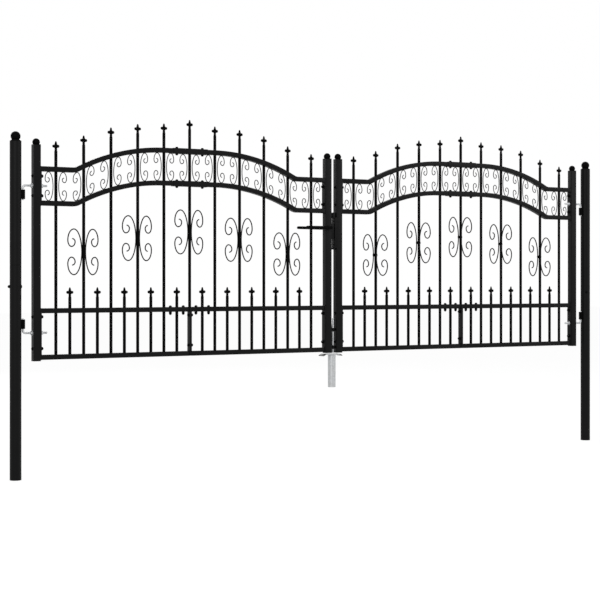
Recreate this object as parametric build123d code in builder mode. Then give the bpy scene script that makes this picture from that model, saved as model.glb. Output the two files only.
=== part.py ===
from build123d import *
from math import asin, cos, degrees, hypot, radians, sin, sqrt
import os

# Double driveway gate: two arched leaves of round bars and scrolls, hung on two round posts.
# Millimetres, +Z up. The origin is the centre of the left post's foot, +X runs to the right post.

# Posts
post_spacing = 4000
post_diameter = 60
post_joint_height = 1160
post_shoulder_height = 1829
post_cone_height = 10
post_neck_diameter = 34
post_ball_diameter = 50

# Stiles, the square uprights at both ends of a leaf
stile_size = 40
stile_corner = 3
hinge_stile_offset = 116
meeting_gap = 36
stile_foot_drop = 20
stile_rise = 128.5
stile_cap_thickness = 3
stile_neck_diameter = 25
stile_ball_diameter = 38

# Straight rails
rail_size = 25
bottom_rail_height = 658.5
mid_rail_height = 912

# Arched rails: flat ends, an arc on each side and a flat top, drawn on their centre line.
# The shares count bar pitches from the middle of the leaf.
arch_rail_size = 25
lower_arch_height = 1498.5
arch_spacing = 186.5
arch_rise = 133.5
arch_foot_share = 4.3
arch_top_share = 1.0

# Sleeves that join the two halves of each arched rail
sleeve_length_share = 4 / 3
sleeve_wall = 2
sleeve_clearance = 0.25

# Upright bars, spread evenly between the end bays beside the stiles
bar_diameter = 15
bar_sides = 8
bar_count = 11
end_bay_width = 93
bar_clearance = 0.2
bar_rise = 153
bar_rise_shares = (1.01, 1.11, 1.05, 1.0, 1.0, 1.19)
picket_rise = 115

# Spear heads, flat castings on the bar tops
spear_height = 54
spear_width = 39
spear_thickness = 10
spear_outline_shares = (
    (0.30, 0.63),
    (0.80, 0.62),
    (1.00, 0.53),
    (0.85, 0.42),
    (0.36, 0.20),
    (0.34, 0.00),
)

# Scrolls: each half turns at these shares of the scroll's width and half height
band_scroll_rod = 4
butterfly_rod = 6
scroll_seat_gap = 0.2
scroll_turn_shares = ((0.56, 1.00), (1.00, 0.52), (0.74, 0.235), (0.48, 0.44), (0.70, 0.58))
band_scroll_steps = (2, 2, 1, 1, 1)
band_scroll_offset = 13
band_scroll_gap = 34
butterfly_steps = (3, 2, 2, 1, 1)
butterfly_bar_gap = 64
butterfly_front_offset = 2.5
butterfly_height_share = 0.58
butterfly_place_shares = (0.42, 0.49, 0.55)

# Flat bars that bolt the panels to the stiles and the two half panels to each other
end_flange_thickness = 5
end_flange_depth = 36
centre_flange_thickness = 5
centre_flange_depth = 36

# Hinges: sockets on the posts and bent hinge bolts through the stiles and end flanges
hinge_socket_diameter = 22
hinge_socket_height = 51
hinge_socket_gap = 23
hinge_weld_gap = 0.2
hinge_bolt_diameter = 12
hinge_clearance = 0.3
hinge_bend_radius = 14
hinge_bolt_overrun = 42
hinge_pin_overrun = 6
lower_hinge_share = 0.527

# Lock on the meeting stiles
lever_height = 1396
lever_spindle_diameter = 12
lever_spindle_clearance = 0.5
lever_stand_off = 55
lever_length = 179
lever_root_height = 16
lever_tip_height = 14.5
lever_thickness = 12
lock_case_drop = 66
lock_case_height = 91
lock_case_width = 20
lock_case_depth = 30
keeper_drop = 130
keeper_height = 224
keeper_thickness = 10
keeper_depth = 40
keeper_reach = 28
keeper_top_lug = 32
keeper_foot_lug = 10

# Drop bolt on the right leaf, its two guides, the stop plate and the socket that stands in the ground
drop_bolt_diameter = 12
drop_bolt_lift = 6
drop_bolt_rise = 69
drop_bolt_offset = 15
drop_bolt_clearance = 0.3
guide_width = 19
guide_height = 22
lower_guide_lift = 33.5
upper_guide_lift = 140.5
stop_plate_thickness = 5.5
stop_plate_height = 210
stop_plate_width = 32
stop_plate_taper = 60
stop_plate_top_width = 14
socket_plate_length = 132
socket_plate_width = 60
socket_plate_thickness = 5
socket_plate_drop = 5.5
socket_plate_fall = 15
socket_plate_flat_length = 100
socket_plate_shift = 17
socket_hole_clearance = 2
socket_tube_diameter = 47
socket_tube_wall = 3.5
socket_tube_length = 198
socket_tube_shift = 8.5

# Worked out from the sizes above: places in a leaf are counted from its middle line
post_radius = post_diameter / 2
stile_half = stile_size / 2
stile_spacing = post_spacing / 2 - hinge_stile_offset - meeting_gap / 2 - stile_half
leaf_centre = hinge_stile_offset + stile_spacing / 2
stile_place = stile_spacing / 2
stile_face = stile_place - stile_half
gap_face = stile_place + stile_half
rail_end = stile_face - end_flange_thickness
rail_half = rail_size / 2
arch_half = arch_rail_size / 2
upper_arch_height = lower_arch_height + arch_spacing
bottom_rail_top = bottom_rail_height + rail_half
mid_rail_top = mid_rail_height + rail_half
stile_foot_height = bottom_rail_height - stile_foot_drop
stile_top_height = upper_arch_height + stile_rise

bar_radius = bar_diameter / 2
bar_hole_radius = bar_radius + bar_clearance
bar_pitch = 2 * (stile_face - end_bay_width) / (bar_count - 1)
middle_bar = bar_count // 2
bar_places = [(index - middle_bar) * bar_pitch for index in range(bar_count)]
picket_places = [place + bar_pitch / 2 for place in bar_places[:-1]]
through_places = [place for place in bar_places if place != 0]
picket_tip_height = mid_rail_top + picket_rise

arch_top_end = arch_top_share * bar_pitch
arch_run = arch_foot_share * bar_pitch - arch_top_end
arch_radius = (arch_run**2 + arch_rise**2) / (2 * arch_rise)
sleeve_length = sleeve_length_share * bar_pitch
sleeve_inner = arch_rail_size + 2 * sleeve_clearance
sleeve_outer = sleeve_inner + 2 * sleeve_wall
band_scroll_width = bar_pitch / 2 - band_scroll_offset - band_scroll_gap / 2
butterfly_reach = bar_pitch - bar_radius - butterfly_bar_gap
butterfly_clear_height = lower_arch_height - arch_half - picket_tip_height
butterfly_height = butterfly_height_share * butterfly_clear_height

hinge_axis_offset = post_radius + hinge_weld_gap + hinge_socket_diameter / 2
hinge_hole_radius = hinge_bolt_diameter / 2 + hinge_clearance
upper_hinge_height = lower_arch_height + arch_spacing / 2
lower_hinge_height = bottom_rail_height + lower_hinge_share * (mid_rail_height - bottom_rail_height)
lower_socket_foot = lower_hinge_height + hinge_socket_gap
upper_socket_foot = upper_hinge_height - hinge_socket_gap - hinge_socket_height

lower_guide_height = stile_foot_height + lower_guide_lift
upper_guide_height = stile_foot_height + upper_guide_lift
socket_plate_top = stile_foot_height - socket_plate_drop
drop_bolt_foot = socket_plate_top + drop_bolt_lift
drop_bolt_top = upper_guide_height + drop_bolt_rise
bolt_place = gap_face + drop_bolt_offset

os.makedirs("parts", exist_ok=True)


def save(piece, label):
    """Name a finished piece and write its STEP file."""
    piece.part.label = label
    export_step(piece.part, f"parts/{label}.step")


def leaf_sign(side):
    """The right leaf is the left one turned half round about the vertical."""
    return 1 if side == "left" else -1


def leaf_origin(side, height=0):
    """A point on the middle line of a leaf."""
    return (leaf_centre if side == "left" else post_spacing - leaf_centre, 0, height)


def front_plane(side):
    """Upright plane of a leaf: x runs to its meeting stile, y up, z out of its face."""
    sign = leaf_sign(side)
    return Plane(origin=leaf_origin(side), x_dir=(sign, 0, 0), z_dir=(0, -sign, 0))


def plan_plane(side, height):
    """Level plane of a leaf: x runs to its meeting stile."""
    return Plane(origin=leaf_origin(side, height), x_dir=(leaf_sign(side), 0, 0), z_dir=(0, 0, 1))


def cross_plane(side, place, height):
    """Plane across a leaf's rails, facing its meeting stile."""
    origin = front_plane(side).from_local_coords(Vector(place, height, 0))
    return Plane(origin=origin, x_dir=(0, 1, 0), z_dir=(leaf_sign(side), 0, 0))


def arch_edge(place, offset):
    """Height above the flat ends of the line that lies offset above an arched rail's centre line."""
    reach = max(abs(place) - arch_top_end, 0)
    arc = arch_rise - arch_radius + sqrt((arch_radius + offset) ** 2 - reach**2)
    return max(offset, arc)


def arch_reach(offset):
    """Length of the arc, measured level, before it meets the flat end."""
    radius = arch_radius + offset
    return sqrt(radius**2 - (radius - arch_rise) ** 2)


def arch_edge_line(height, offset):
    """One edge of half an arched rail, from the stile to the sleeve, as line, arc and line."""
    reach = arch_reach(offset)
    turn = degrees(asin(reach / (arch_radius + offset)))
    top_start = -arch_top_end
    top = height + arch_rise + offset
    Line((-rail_end, height + offset), (top_start - reach, height + offset))
    CenterArc((top_start, height + arch_rise - arch_radius), arch_radius + offset, 90, turn)
    Line((top_start, top), (-bar_hole_radius, top))


def scroll_half(width, half_height, steps):
    """Centre line of half a scroll, from mid spine to curl tip, as quarter ellipses."""
    x, y = 0, 0
    points = [(x, y)]
    for number, (share, count) in enumerate(zip(scroll_turn_shares, steps)):
        run, rise = share[0] * width - x, share[1] * half_height - y
        for step in range(count):
            angle = radians(90 * (step + 1) / count)
            early, late = sin(angle), 1 - cos(angle)
            along, up = (late, early) if number % 2 == 0 else (early, late)
            points.append((x + run * along, y + rise * up))
        x, y = points[-1]
    return points


def ribbon(points, thickness):
    """Closed outline of a rod of even thickness along a line of points, mitred at each point."""
    left, right = [], []
    for index, (x, y) in enumerate(points):
        before = points[max(index - 1, 0)]
        after = points[min(index + 1, len(points) - 1)]
        run_in = (x - before[0], y - before[1])
        run_out = (after[0] - x, after[1] - y)
        units = [(a / hypot(a, b), b / hypot(a, b)) for a, b in (run_in, run_out) if hypot(a, b) > 0]
        mean = [sum(part) / len(units) for part in zip(*units)]
        reach = thickness / 2 / (mean[0] ** 2 + mean[1] ** 2)
        left.append((x - mean[1] * reach, y + mean[0] * reach))
        right.append((x + mean[1] * reach, y - mean[0] * reach))
    return left + right[::-1]


def scroll_outline(width, height, rod, steps):
    """Outline of a whole scroll: its spine's middle at the origin, its curls towards +x."""
    half = scroll_half(width - rod / 2, height / 2 - rod / 2, steps)
    lower = [(x, -y) for x, y in reversed(half[1:])]
    return ribbon(lower + half, rod)


def band_scroll(bar_place, direction):
    """A scroll beside a bar, bent to fit between the two arched rails and flat where it seats."""
    cover = sleeve_outer / 2 if bar_place == 0 else arch_half
    seat = arch_spacing / 2 - arch_half
    points = []
    for x, y in scroll_outline(band_scroll_width, 2 * seat, band_scroll_rod, band_scroll_steps):
        place = bar_place + direction * (band_scroll_offset + x)
        low = lower_arch_height + arch_edge(place, cover) + scroll_seat_gap
        high = upper_arch_height + arch_edge(place, -cover) - scroll_seat_gap
        lift = max(-seat, min(seat, y)) / seat
        points.append((place, (low + high) / 2 + (high - low) / 2 * lift))
    return points


def butterfly_scroll(bar_place, height, direction):
    """One of the two scrolls that stand back to back on a bar."""
    spine = bar_radius + scroll_seat_gap + butterfly_rod / 2
    width = butterfly_reach - spine
    outline = scroll_outline(width, butterfly_height, butterfly_rod, butterfly_steps)
    return [(bar_place + direction * (spine + x), height + y) for x, y in outline]


def bar_sections(places, radius, mode=Mode.ADD):
    """Cross sections of the upright bars, or of the holes that they pass through, with flats to x."""
    with Locations(*[(place, 0) for place in places]):
        RegularPolygon(radius, bar_sides, major_radius=False, rotation=180 / bar_sides, mode=mode)


def spear_points(place, tip_height):
    """Outline of one spear head, from its tip down one side and up the other."""
    foot = tip_height - spear_height
    half = [(x * spear_width / 2, foot + y * spear_height) for x, y in spear_outline_shares]
    other = [(-x, y) for x, y in reversed(half)]
    return [(place + x, y) for x, y in [(0, tip_height)] + half + other]


def stile_section():
    """Square tube with its corners broken."""
    Polygon(
        (stile_half, stile_corner - stile_half),
        (stile_half, stile_half - stile_corner),
        (stile_half - stile_corner, stile_half),
        (stile_corner - stile_half, stile_half),
        (-stile_half, stile_half - stile_corner),
        (-stile_half, stile_corner - stile_half),
        (stile_corner - stile_half, -stile_half),
        (stile_half - stile_corner, -stile_half),
    )


def bar_tip_height(index):
    """Height of a long bar's spear tip: its rise over the upper arched rail."""
    place = bar_places[index]
    share = bar_rise_shares[min(index, bar_count - 1 - index)]
    return upper_arch_height + arch_edge(place, 0) + bar_rise * share


# Posts: a lower and an upper tube
for side, centre in (("left", 0), ("right", post_spacing)):
    with BuildPart() as post_lower:
        with BuildSketch(Plane.XY):
            with Locations((centre, 0)):
                Circle(post_radius)
        extrude(amount=post_joint_height)
    save(post_lower, f"{side}_post_lower")

    with BuildPart() as post_upper:
        with BuildSketch(Plane.XY.offset(post_joint_height)):
            with Locations((centre, 0)):
                Circle(post_radius)
        extrude(amount=post_shoulder_height - post_joint_height)
    save(post_upper, f"{side}_post_upper")

# Ball caps on both posts
neck_radius = post_neck_diameter / 2
ball_radius = post_ball_diameter / 2
ball_lift = post_cone_height + sqrt(ball_radius**2 - neck_radius**2)
with BuildPart(Plane.XY.offset(post_shoulder_height)) as post_caps:
    with Locations((0, 0, 0), (post_spacing, 0, 0)):
        Cone(post_radius, neck_radius, post_cone_height, align=(Align.CENTER, Align.CENTER, Align.MIN))
    with Locations((0, 0, ball_lift), (post_spacing, 0, ball_lift)):
        Sphere(ball_radius)
    split(bisect_by=Plane.XY.offset(post_shoulder_height), keep=Keep.TOP)
save(post_caps, "post_caps")

# Hinge sockets welded to both posts
with BuildPart() as hinge_sockets:
    for foot in (lower_socket_foot, upper_socket_foot):
        with BuildSketch(Plane.XY.offset(foot)):
            with Locations((hinge_axis_offset, 0), (post_spacing - hinge_axis_offset, 0)):
                Circle(hinge_socket_diameter / 2)
                Circle(hinge_hole_radius, mode=Mode.SUBTRACT)
        extrude(amount=hinge_socket_height)
save(hinge_sockets, "hinge_sockets")

# Leaves
for side in ("left", "right"):
    hinge_holes = [(-stile_place, 0, height) for height in (lower_hinge_height, upper_hinge_height)]

    with BuildPart(plan_plane(side, 0)) as hinge_stile:
        with BuildSketch(plan_plane(side, stile_foot_height)):
            with Locations((-stile_place, 0)):
                stile_section()
        extrude(amount=stile_top_height - stile_foot_height)
        with Locations(*hinge_holes):
            Cylinder(hinge_hole_radius, 2 * stile_size, rotation=(0, 90, 0), mode=Mode.SUBTRACT)
    save(hinge_stile, f"{side}_hinge_stile")

    with BuildPart(plan_plane(side, 0)) as meeting_stile:
        with BuildSketch(plan_plane(side, stile_foot_height)):
            with Locations((stile_place, 0)):
                stile_section()
        extrude(amount=stile_top_height - stile_foot_height)
        if side == "left":
            spindle_hole = lever_spindle_diameter / 2 + lever_spindle_clearance
            with Locations((stile_place, 0, lever_height)):
                Cylinder(spindle_hole, 2 * stile_size, rotation=(90, 0, 0), mode=Mode.SUBTRACT)
    save(meeting_stile, f"{side}_meeting_stile")

    cap_top = stile_top_height + stile_cap_thickness
    stile_ball_radius = stile_ball_diameter / 2
    ball_lift = sqrt(stile_ball_radius**2 - (stile_neck_diameter / 2) ** 2)
    with BuildPart(plan_plane(side, 0)) as stile_caps:
        with BuildSketch(plan_plane(side, stile_top_height)):
            with Locations((-stile_place, 0), (stile_place, 0)):
                stile_section()
        extrude(amount=stile_cap_thickness)
        with Locations((-stile_place, 0, cap_top + ball_lift), (stile_place, 0, cap_top + ball_lift)):
            Sphere(stile_ball_radius)
        split(bisect_by=plan_plane(side, stile_top_height), keep=Keep.TOP)
    save(stile_caps, f"{side}_stile_caps")

    for label, height in (("lower", lower_arch_height), ("upper", upper_arch_height)):
        with BuildPart() as arch_rail:
            with BuildSketch(front_plane(side)):
                with BuildLine():
                    arch_edge_line(height, arch_half)
                    arch_edge_line(height, -arch_half)
                    Line((-rail_end, height + arch_half), (-rail_end, height - arch_half))
                    inner_top = height + arch_rise + arch_half
                    Line((-bar_hole_radius, inner_top), (-bar_hole_radius, inner_top - arch_rail_size))
                make_face()
                mirror(about=Plane.YZ)
            extrude(amount=arch_half, both=True)
            with BuildSketch(plan_plane(side, height - arch_rail_size)):
                bar_sections(through_places, bar_hole_radius)
            extrude(amount=arch_rise + 2 * arch_rail_size, mode=Mode.SUBTRACT)
        save(arch_rail, f"{side}_{label}_arch_rail")

    with BuildPart() as arch_sleeves:
        for height in (lower_arch_height + arch_rise, upper_arch_height + arch_rise):
            with BuildSketch(cross_plane(side, 0, height)):
                Rectangle(sleeve_outer, sleeve_outer)
                Rectangle(sleeve_inner, sleeve_inner, mode=Mode.SUBTRACT)
            extrude(amount=sleeve_length / 2, both=True)
        with BuildSketch(plan_plane(side, lower_arch_height)):
            bar_sections([0], bar_hole_radius)
        extrude(amount=arch_spacing + 2 * arch_rise, mode=Mode.SUBTRACT)
    save(arch_sleeves, f"{side}_arch_sleeves")

    half_rail_length = rail_end - centre_flange_thickness
    half_rail_centre = (rail_end + centre_flange_thickness) / 2
    with BuildPart() as bottom_rail:
        with BuildSketch(plan_plane(side, bottom_rail_height - rail_half)):
            with Locations((-half_rail_centre, 0), (half_rail_centre, 0)):
                Rectangle(half_rail_length, rail_size)
        extrude(amount=rail_size)
    save(bottom_rail, f"{side}_bottom_rail")

    with BuildPart() as mid_rail:
        with BuildSketch(plan_plane(side, mid_rail_height - rail_half)):
            with Locations((-half_rail_centre, 0), (half_rail_centre, 0)):
                Rectangle(half_rail_length, rail_size)
            bar_sections(through_places + picket_places, bar_hole_radius, Mode.SUBTRACT)
        extrude(amount=rail_size)
    save(mid_rail, f"{side}_mid_rail")

    with BuildPart() as long_bars:
        for index, place in enumerate(bar_places):
            foot = mid_rail_top if place == 0 else bottom_rail_top
            with BuildSketch(plan_plane(side, foot)):
                bar_sections([place], bar_radius)
            extrude(amount=bar_tip_height(index) - spear_height - foot)
    save(long_bars, f"{side}_long_bars")

    with BuildPart() as pickets:
        with BuildSketch(plan_plane(side, bottom_rail_top)):
            bar_sections(picket_places, bar_radius)
        extrude(amount=picket_tip_height - spear_height - bottom_rail_top)
    save(pickets, f"{side}_pickets")

    with BuildPart() as spears:
        with BuildSketch(front_plane(side)):
            for index, place in enumerate(bar_places):
                Polygon(*spear_points(place, bar_tip_height(index)), align=None)
            for place in picket_places:
                Polygon(*spear_points(place, picket_tip_height), align=None)
        extrude(amount=spear_thickness / 2, both=True)
    save(spears, f"{side}_spears")

    with BuildPart() as band_scrolls:
        with BuildSketch(front_plane(side)):
            for place in bar_places:
                for direction in (-1, 1):
                    Polygon(*band_scroll(place, direction), align=None)
        extrude(amount=band_scroll_rod / 2, both=True)
    save(band_scrolls, f"{side}_band_scrolls")

    with BuildPart() as butterfly_scrolls:
        with BuildSketch(front_plane(side).offset(butterfly_front_offset)):
            for index in range(1, bar_count, 2):
                place = bar_places[index]
                share = butterfly_place_shares[min(index, bar_count - 1 - index) // 2]
                clear_height = butterfly_clear_height + arch_edge(place, 0)
                height = picket_tip_height + share * clear_height
                for direction in (-1, 1):
                    Polygon(*butterfly_scroll(place, height, direction), align=None)
        extrude(amount=butterfly_rod / 2, both=True)
    save(butterfly_scrolls, f"{side}_butterfly_scrolls")

    flange_spans = (
        (bottom_rail_height - rail_half, mid_rail_top),
        (lower_arch_height - arch_half, upper_arch_height + arch_half),
    )
    with BuildPart(plan_plane(side, 0)) as end_flanges:
        with BuildSketch(front_plane(side)):
            for low, high in flange_spans:
                for end in (-1, 1):
                    with Locations((end * (rail_end + end_flange_thickness / 2), (low + high) / 2)):
                        Rectangle(end_flange_thickness, high - low)
        extrude(amount=end_flange_depth / 2, both=True)
        with Locations(*hinge_holes):
            Cylinder(hinge_hole_radius, 2 * stile_size, rotation=(0, 90, 0), mode=Mode.SUBTRACT)
    save(end_flanges, f"{side}_end_flanges")

    with BuildPart() as centre_flanges:
        with BuildSketch(front_plane(side)):
            low, high = flange_spans[0]
            with Locations((0, (low + high) / 2)):
                Rectangle(2 * centre_flange_thickness, high - low)
        extrude(amount=centre_flange_depth / 2, both=True)
    save(centre_flanges, f"{side}_centre_flanges")

    pin_place = hinge_axis_offset - leaf_centre
    reach_place = hinge_bolt_overrun - stile_face
    bolt_ends = (
        (lower_hinge_height, lower_socket_foot + hinge_socket_height + hinge_pin_overrun),
        (upper_hinge_height, upper_socket_foot - hinge_pin_overrun),
    )
    with BuildPart() as hinge_bolts:
        for height, pin_end in bolt_ends:
            with BuildLine(front_plane(side)) as bolt_path:
                FilletPolyline(
                    (reach_place, height),
                    (pin_place, height),
                    (pin_place, pin_end),
                    radius=hinge_bend_radius,
                )
            with BuildSketch(cross_plane(side, reach_place, height)):
                Circle(hinge_bolt_diameter / 2)
            sweep(path=bolt_path.line)
    save(hinge_bolts, f"{side}_hinge_bolts")

# Lock case on the left meeting stile and keeper on the right one
lock_middle = lever_height - lock_case_drop + lock_case_height / 2
with BuildPart() as lock_case:
    with BuildSketch(front_plane("left")):
        with Locations((gap_face + lock_case_width / 2, lock_middle)):
            Rectangle(lock_case_width, lock_case_height)
    extrude(amount=lock_case_depth / 2, both=True)
save(lock_case, "lock_case")

with BuildPart() as keeper:
    with BuildSketch(front_plane("right")):
        with BuildLine():
            keeper_foot = lever_height - keeper_drop
            keeper_top = keeper_foot + keeper_height
            plate_edge = gap_face + keeper_thickness
            lug_edge = gap_face + keeper_reach
            Polyline(
                (gap_face, keeper_foot),
                (lug_edge, keeper_foot),
                (lug_edge, keeper_foot + keeper_foot_lug),
                (plate_edge, keeper_foot + keeper_foot_lug),
                (plate_edge, keeper_top - keeper_top_lug),
                (lug_edge, keeper_top - keeper_top_lug),
                (lug_edge, keeper_top),
                (gap_face, keeper_top),
                close=True,
            )
        make_face()
    extrude(amount=keeper_depth / 2, both=True)
save(keeper, "keeper")

# Lever handles on one spindle through the left meeting stile
with BuildPart() as lever_spindle:
    with BuildSketch(front_plane("left")):
        with Locations((stile_place, lever_height)):
            Circle(lever_spindle_diameter / 2)
    extrude(amount=lever_stand_off - lever_thickness / 2, both=True)
save(lever_spindle, "lever_spindle")

with BuildPart() as lever_handles:
    for face in (-1, 1):
        grip_plane = front_plane("left").offset(face * lever_stand_off)
        with BuildSketch(grip_plane):
            with BuildLine():
                Polyline(
                    (stile_place + lever_root_height / 2, lever_height + lever_root_height / 2),
                    (stile_place + lever_root_height / 2, lever_height - lever_root_height / 2),
                    (stile_place - lever_length, lever_height + lever_root_height / 2 - lever_tip_height),
                    (stile_place - lever_length, lever_height + lever_root_height / 2),
                    close=True,
                )
            make_face()
        extrude(amount=lever_thickness / 2, both=True)
save(lever_handles, "lever_handles")

# Drop bolt, its guides and the stop plate across the gap from it
with BuildPart() as drop_bolt:
    with BuildSketch(plan_plane("right", drop_bolt_foot)):
        with Locations((bolt_place, 0)):
            Circle(drop_bolt_diameter / 2)
    extrude(amount=drop_bolt_top - drop_bolt_foot)
save(drop_bolt, "drop_bolt")

with BuildPart() as drop_bolt_guides:
    for height in (lower_guide_height, upper_guide_height):
        with BuildSketch(plan_plane("right", height - guide_height / 2)):
            guide_reach = drop_bolt_offset + guide_width / 2
            with Locations((gap_face + guide_reach / 2, 0)):
                Rectangle(guide_reach, guide_width)
            with Locations((bolt_place, 0)):
                Circle(drop_bolt_diameter / 2 + drop_bolt_clearance, mode=Mode.SUBTRACT)
        extrude(amount=guide_height)
save(drop_bolt_guides, "drop_bolt_guides")

with BuildPart() as stop_plate:
    with BuildSketch(cross_plane("left", gap_face, stile_foot_height)):
        with BuildLine():
            straight_top = stop_plate_height - stop_plate_taper
            Polyline(
                (-stop_plate_width / 2, 0),
                (stop_plate_width / 2, 0),
                (stop_plate_width / 2, straight_top),
                (stop_plate_top_width / 2, stop_plate_height),
                (-stop_plate_top_width / 2, stop_plate_height),
                (-stop_plate_width / 2, straight_top),
                close=True,
            )
        make_face()
    extrude(amount=stop_plate_thickness)
save(stop_plate, "stop_plate")

# Ground socket: a bent plate on a tube, both set a little to the left of the drop bolt
socket_centre = post_spacing - leaf_centre - bolt_place
with BuildPart() as socket_plate:
    plate_origin = (socket_centre - socket_plate_shift, 0, socket_plate_top)
    with BuildSketch(Plane(origin=plate_origin, x_dir=(1, 0, 0), z_dir=(0, -1, 0))):
        with BuildLine():
            upper_edge = [
                (-socket_plate_length / 2, -socket_plate_fall),
                (-socket_plate_flat_length / 2, 0),
                (socket_plate_flat_length / 2, 0),
                (socket_plate_length / 2, -socket_plate_fall),
            ]
            lower_edge = [(x, y - socket_plate_thickness) for x, y in reversed(upper_edge)]
            Polyline(*upper_edge, *lower_edge, close=True)
        make_face()
    extrude(amount=socket_plate_width / 2, both=True)
    with Locations((socket_centre, 0, socket_plate_top)):
        Hole(drop_bolt_diameter / 2 + socket_hole_clearance)
save(socket_plate, "ground_socket_plate")

tube_top = socket_plate_top - socket_plate_thickness
with BuildPart() as socket_tube:
    with BuildSketch(Plane.XY.offset(tube_top - socket_tube_length)):
        with Locations((socket_centre - socket_tube_shift, 0)):
            Circle(socket_tube_diameter / 2)
            Circle(socket_tube_diameter / 2 - socket_tube_wall, mode=Mode.SUBTRACT)
    extrude(amount=socket_tube_length)
save(socket_tube, "ground_socket_tube")
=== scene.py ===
# %% [markdown]
# # A double driveway gate
#
# The real gate is a bolted kit of steel tube and bar: two leaves with arched double rails, round bars with cast
# spear heads and bent scrolls, hung on two round posts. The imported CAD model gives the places, the main sizes and
# every joint. This lesson dresses that model: each plain solid is replaced by a surface worked out with numpy, and
# gets a finish made of shader nodes. Everything is in metres, with the origin at the foot of the left post.

import bpy
import numpy as np
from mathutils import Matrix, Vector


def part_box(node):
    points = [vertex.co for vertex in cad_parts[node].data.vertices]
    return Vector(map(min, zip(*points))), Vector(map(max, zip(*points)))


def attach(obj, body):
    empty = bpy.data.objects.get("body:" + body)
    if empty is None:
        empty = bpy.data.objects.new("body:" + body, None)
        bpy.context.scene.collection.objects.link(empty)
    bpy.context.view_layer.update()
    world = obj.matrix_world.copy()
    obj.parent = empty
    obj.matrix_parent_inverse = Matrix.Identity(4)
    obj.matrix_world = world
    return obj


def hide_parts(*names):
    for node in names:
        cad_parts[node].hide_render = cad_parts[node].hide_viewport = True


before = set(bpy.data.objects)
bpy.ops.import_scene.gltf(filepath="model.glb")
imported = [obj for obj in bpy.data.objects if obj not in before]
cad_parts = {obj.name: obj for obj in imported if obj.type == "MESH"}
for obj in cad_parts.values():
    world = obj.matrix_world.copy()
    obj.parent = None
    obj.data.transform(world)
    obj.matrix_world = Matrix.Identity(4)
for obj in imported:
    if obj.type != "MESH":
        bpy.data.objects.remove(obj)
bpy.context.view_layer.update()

# %% [markdown]
# ## The viewpoint
#
# The photograph was taken from the left, at about half the gate's height, with a long lens and a level camera. The
# even pitch of the bars fixes that view: the camera is turned 30 degrees to the right and stands about nine metres
# away. A level camera keeps the posts upright, so the small move of the horizon is a lens shift and not a tilt.

# %% Camera
camera_place = (-2.614, -7.597, 1.072)
camera_heading = 30.0
camera_lens = 87.70
camera_rise = -0.031

camera_data = bpy.data.cameras.new("camera")
camera_data.lens = camera_lens
camera_data.shift_y = camera_rise
camera = bpy.data.objects.new("camera", camera_data)
camera.location = camera_place
camera.rotation_euler = np.radians((90.0, 0.0, -camera_heading))
bpy.context.scene.collection.objects.link(camera)
bpy.context.scene.camera = camera
bpy.context.scene.view_settings.view_transform = "Standard"
print("camera lens", camera_lens, "mm, heading", camera_heading, "degrees")

# %% [markdown]
# ## Helpers for shader nodes
#
# A finish is a small network of nodes. A few helpers keep that readable: one adds a node with its settings and its
# inputs, one starts a material whose pattern reads Object coordinates, which are metres in the gate's own frame, and
# the others make the steps that every finish repeats: noise, arithmetic, a spread of values, a blend and a bump.


# %% Node helpers
def add_node(tree, kind, settings=None, inputs=None):
    """Add a shader node, set its own settings, and fill each input with a value or a link from a socket."""
    node = tree.nodes.new(kind)
    for name, value in (settings or {}).items():
        setattr(node, name, value)
    for name, value in (inputs or {}).items():
        if isinstance(value, bpy.types.NodeSocket):
            tree.links.new(value, node.inputs[name])
        else:
            node.inputs[name].default_value = value
    return node


def new_finish(name):
    """Start a material: returns it, its node tree, its shader and the socket of Object coordinates."""
    material = bpy.data.materials.new(name)
    material.use_nodes = True
    tree = material.node_tree
    where = add_node(tree, "ShaderNodeTexCoord").outputs["Object"]
    return material, tree, tree.nodes["Principled BSDF"], where


def between(tree, factor, low, high, start=0.0, stop=1.0):
    """Spread a factor that runs from start to stop over the range from low to high."""
    limits = {"From Min": start, "From Max": stop, "To Min": low, "To Max": high}
    return add_node(tree, "ShaderNodeMapRange", inputs={"Value": factor, **limits}).outputs["Result"]


def noise(tree, where, scale, detail=2.0):
    """Soft random pattern from 0 to 1."""
    settings = {"Vector": where, "Scale": scale, "Detail": detail}
    return add_node(tree, "ShaderNodeTexNoise", inputs=settings).outputs["Fac"]


def arithmetic(tree, operation, first, second=0.0):
    """One step of arithmetic on one or two values."""
    return add_node(tree, "ShaderNodeMath", {"operation": operation}, {0: first, 1: second}).outputs[0]


def blend(tree, factor, first, second):
    """Colour that goes from the first to the second as the factor goes from 0 to 1."""
    colours = {"Factor": factor, 6: first, 7: second}
    return add_node(tree, "ShaderNodeMix", {"data_type": "RGBA"}, colours).outputs[2]


def add_bump(tree, shader, height, strength, distance):
    """Let a pattern tilt the surface normal as if it stood up by a distance."""
    settings = {"Height": height, "Strength": strength, "Distance": distance}
    tree.links.new(add_node(tree, "ShaderNodeBump", inputs=settings).outputs["Normal"], shader.inputs["Normal"])


print("node helpers ready")

# %% [markdown]
# ## Floor and light
#
# The photograph is a cut-out on white. A large pale floor and a white world give that: rays from the camera, and
# rays that bounce off gloss, see white, while the light that falls on the gate stays at a plain level. The floor
# glows so that it reads as white, and keeps a soft shadow under the posts. One broad lamp in front on the left and a
# weaker one on the right put a soft sheen on the tubes, and a third lights the back.

# %% World
ambient_strength = 0.75

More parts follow.
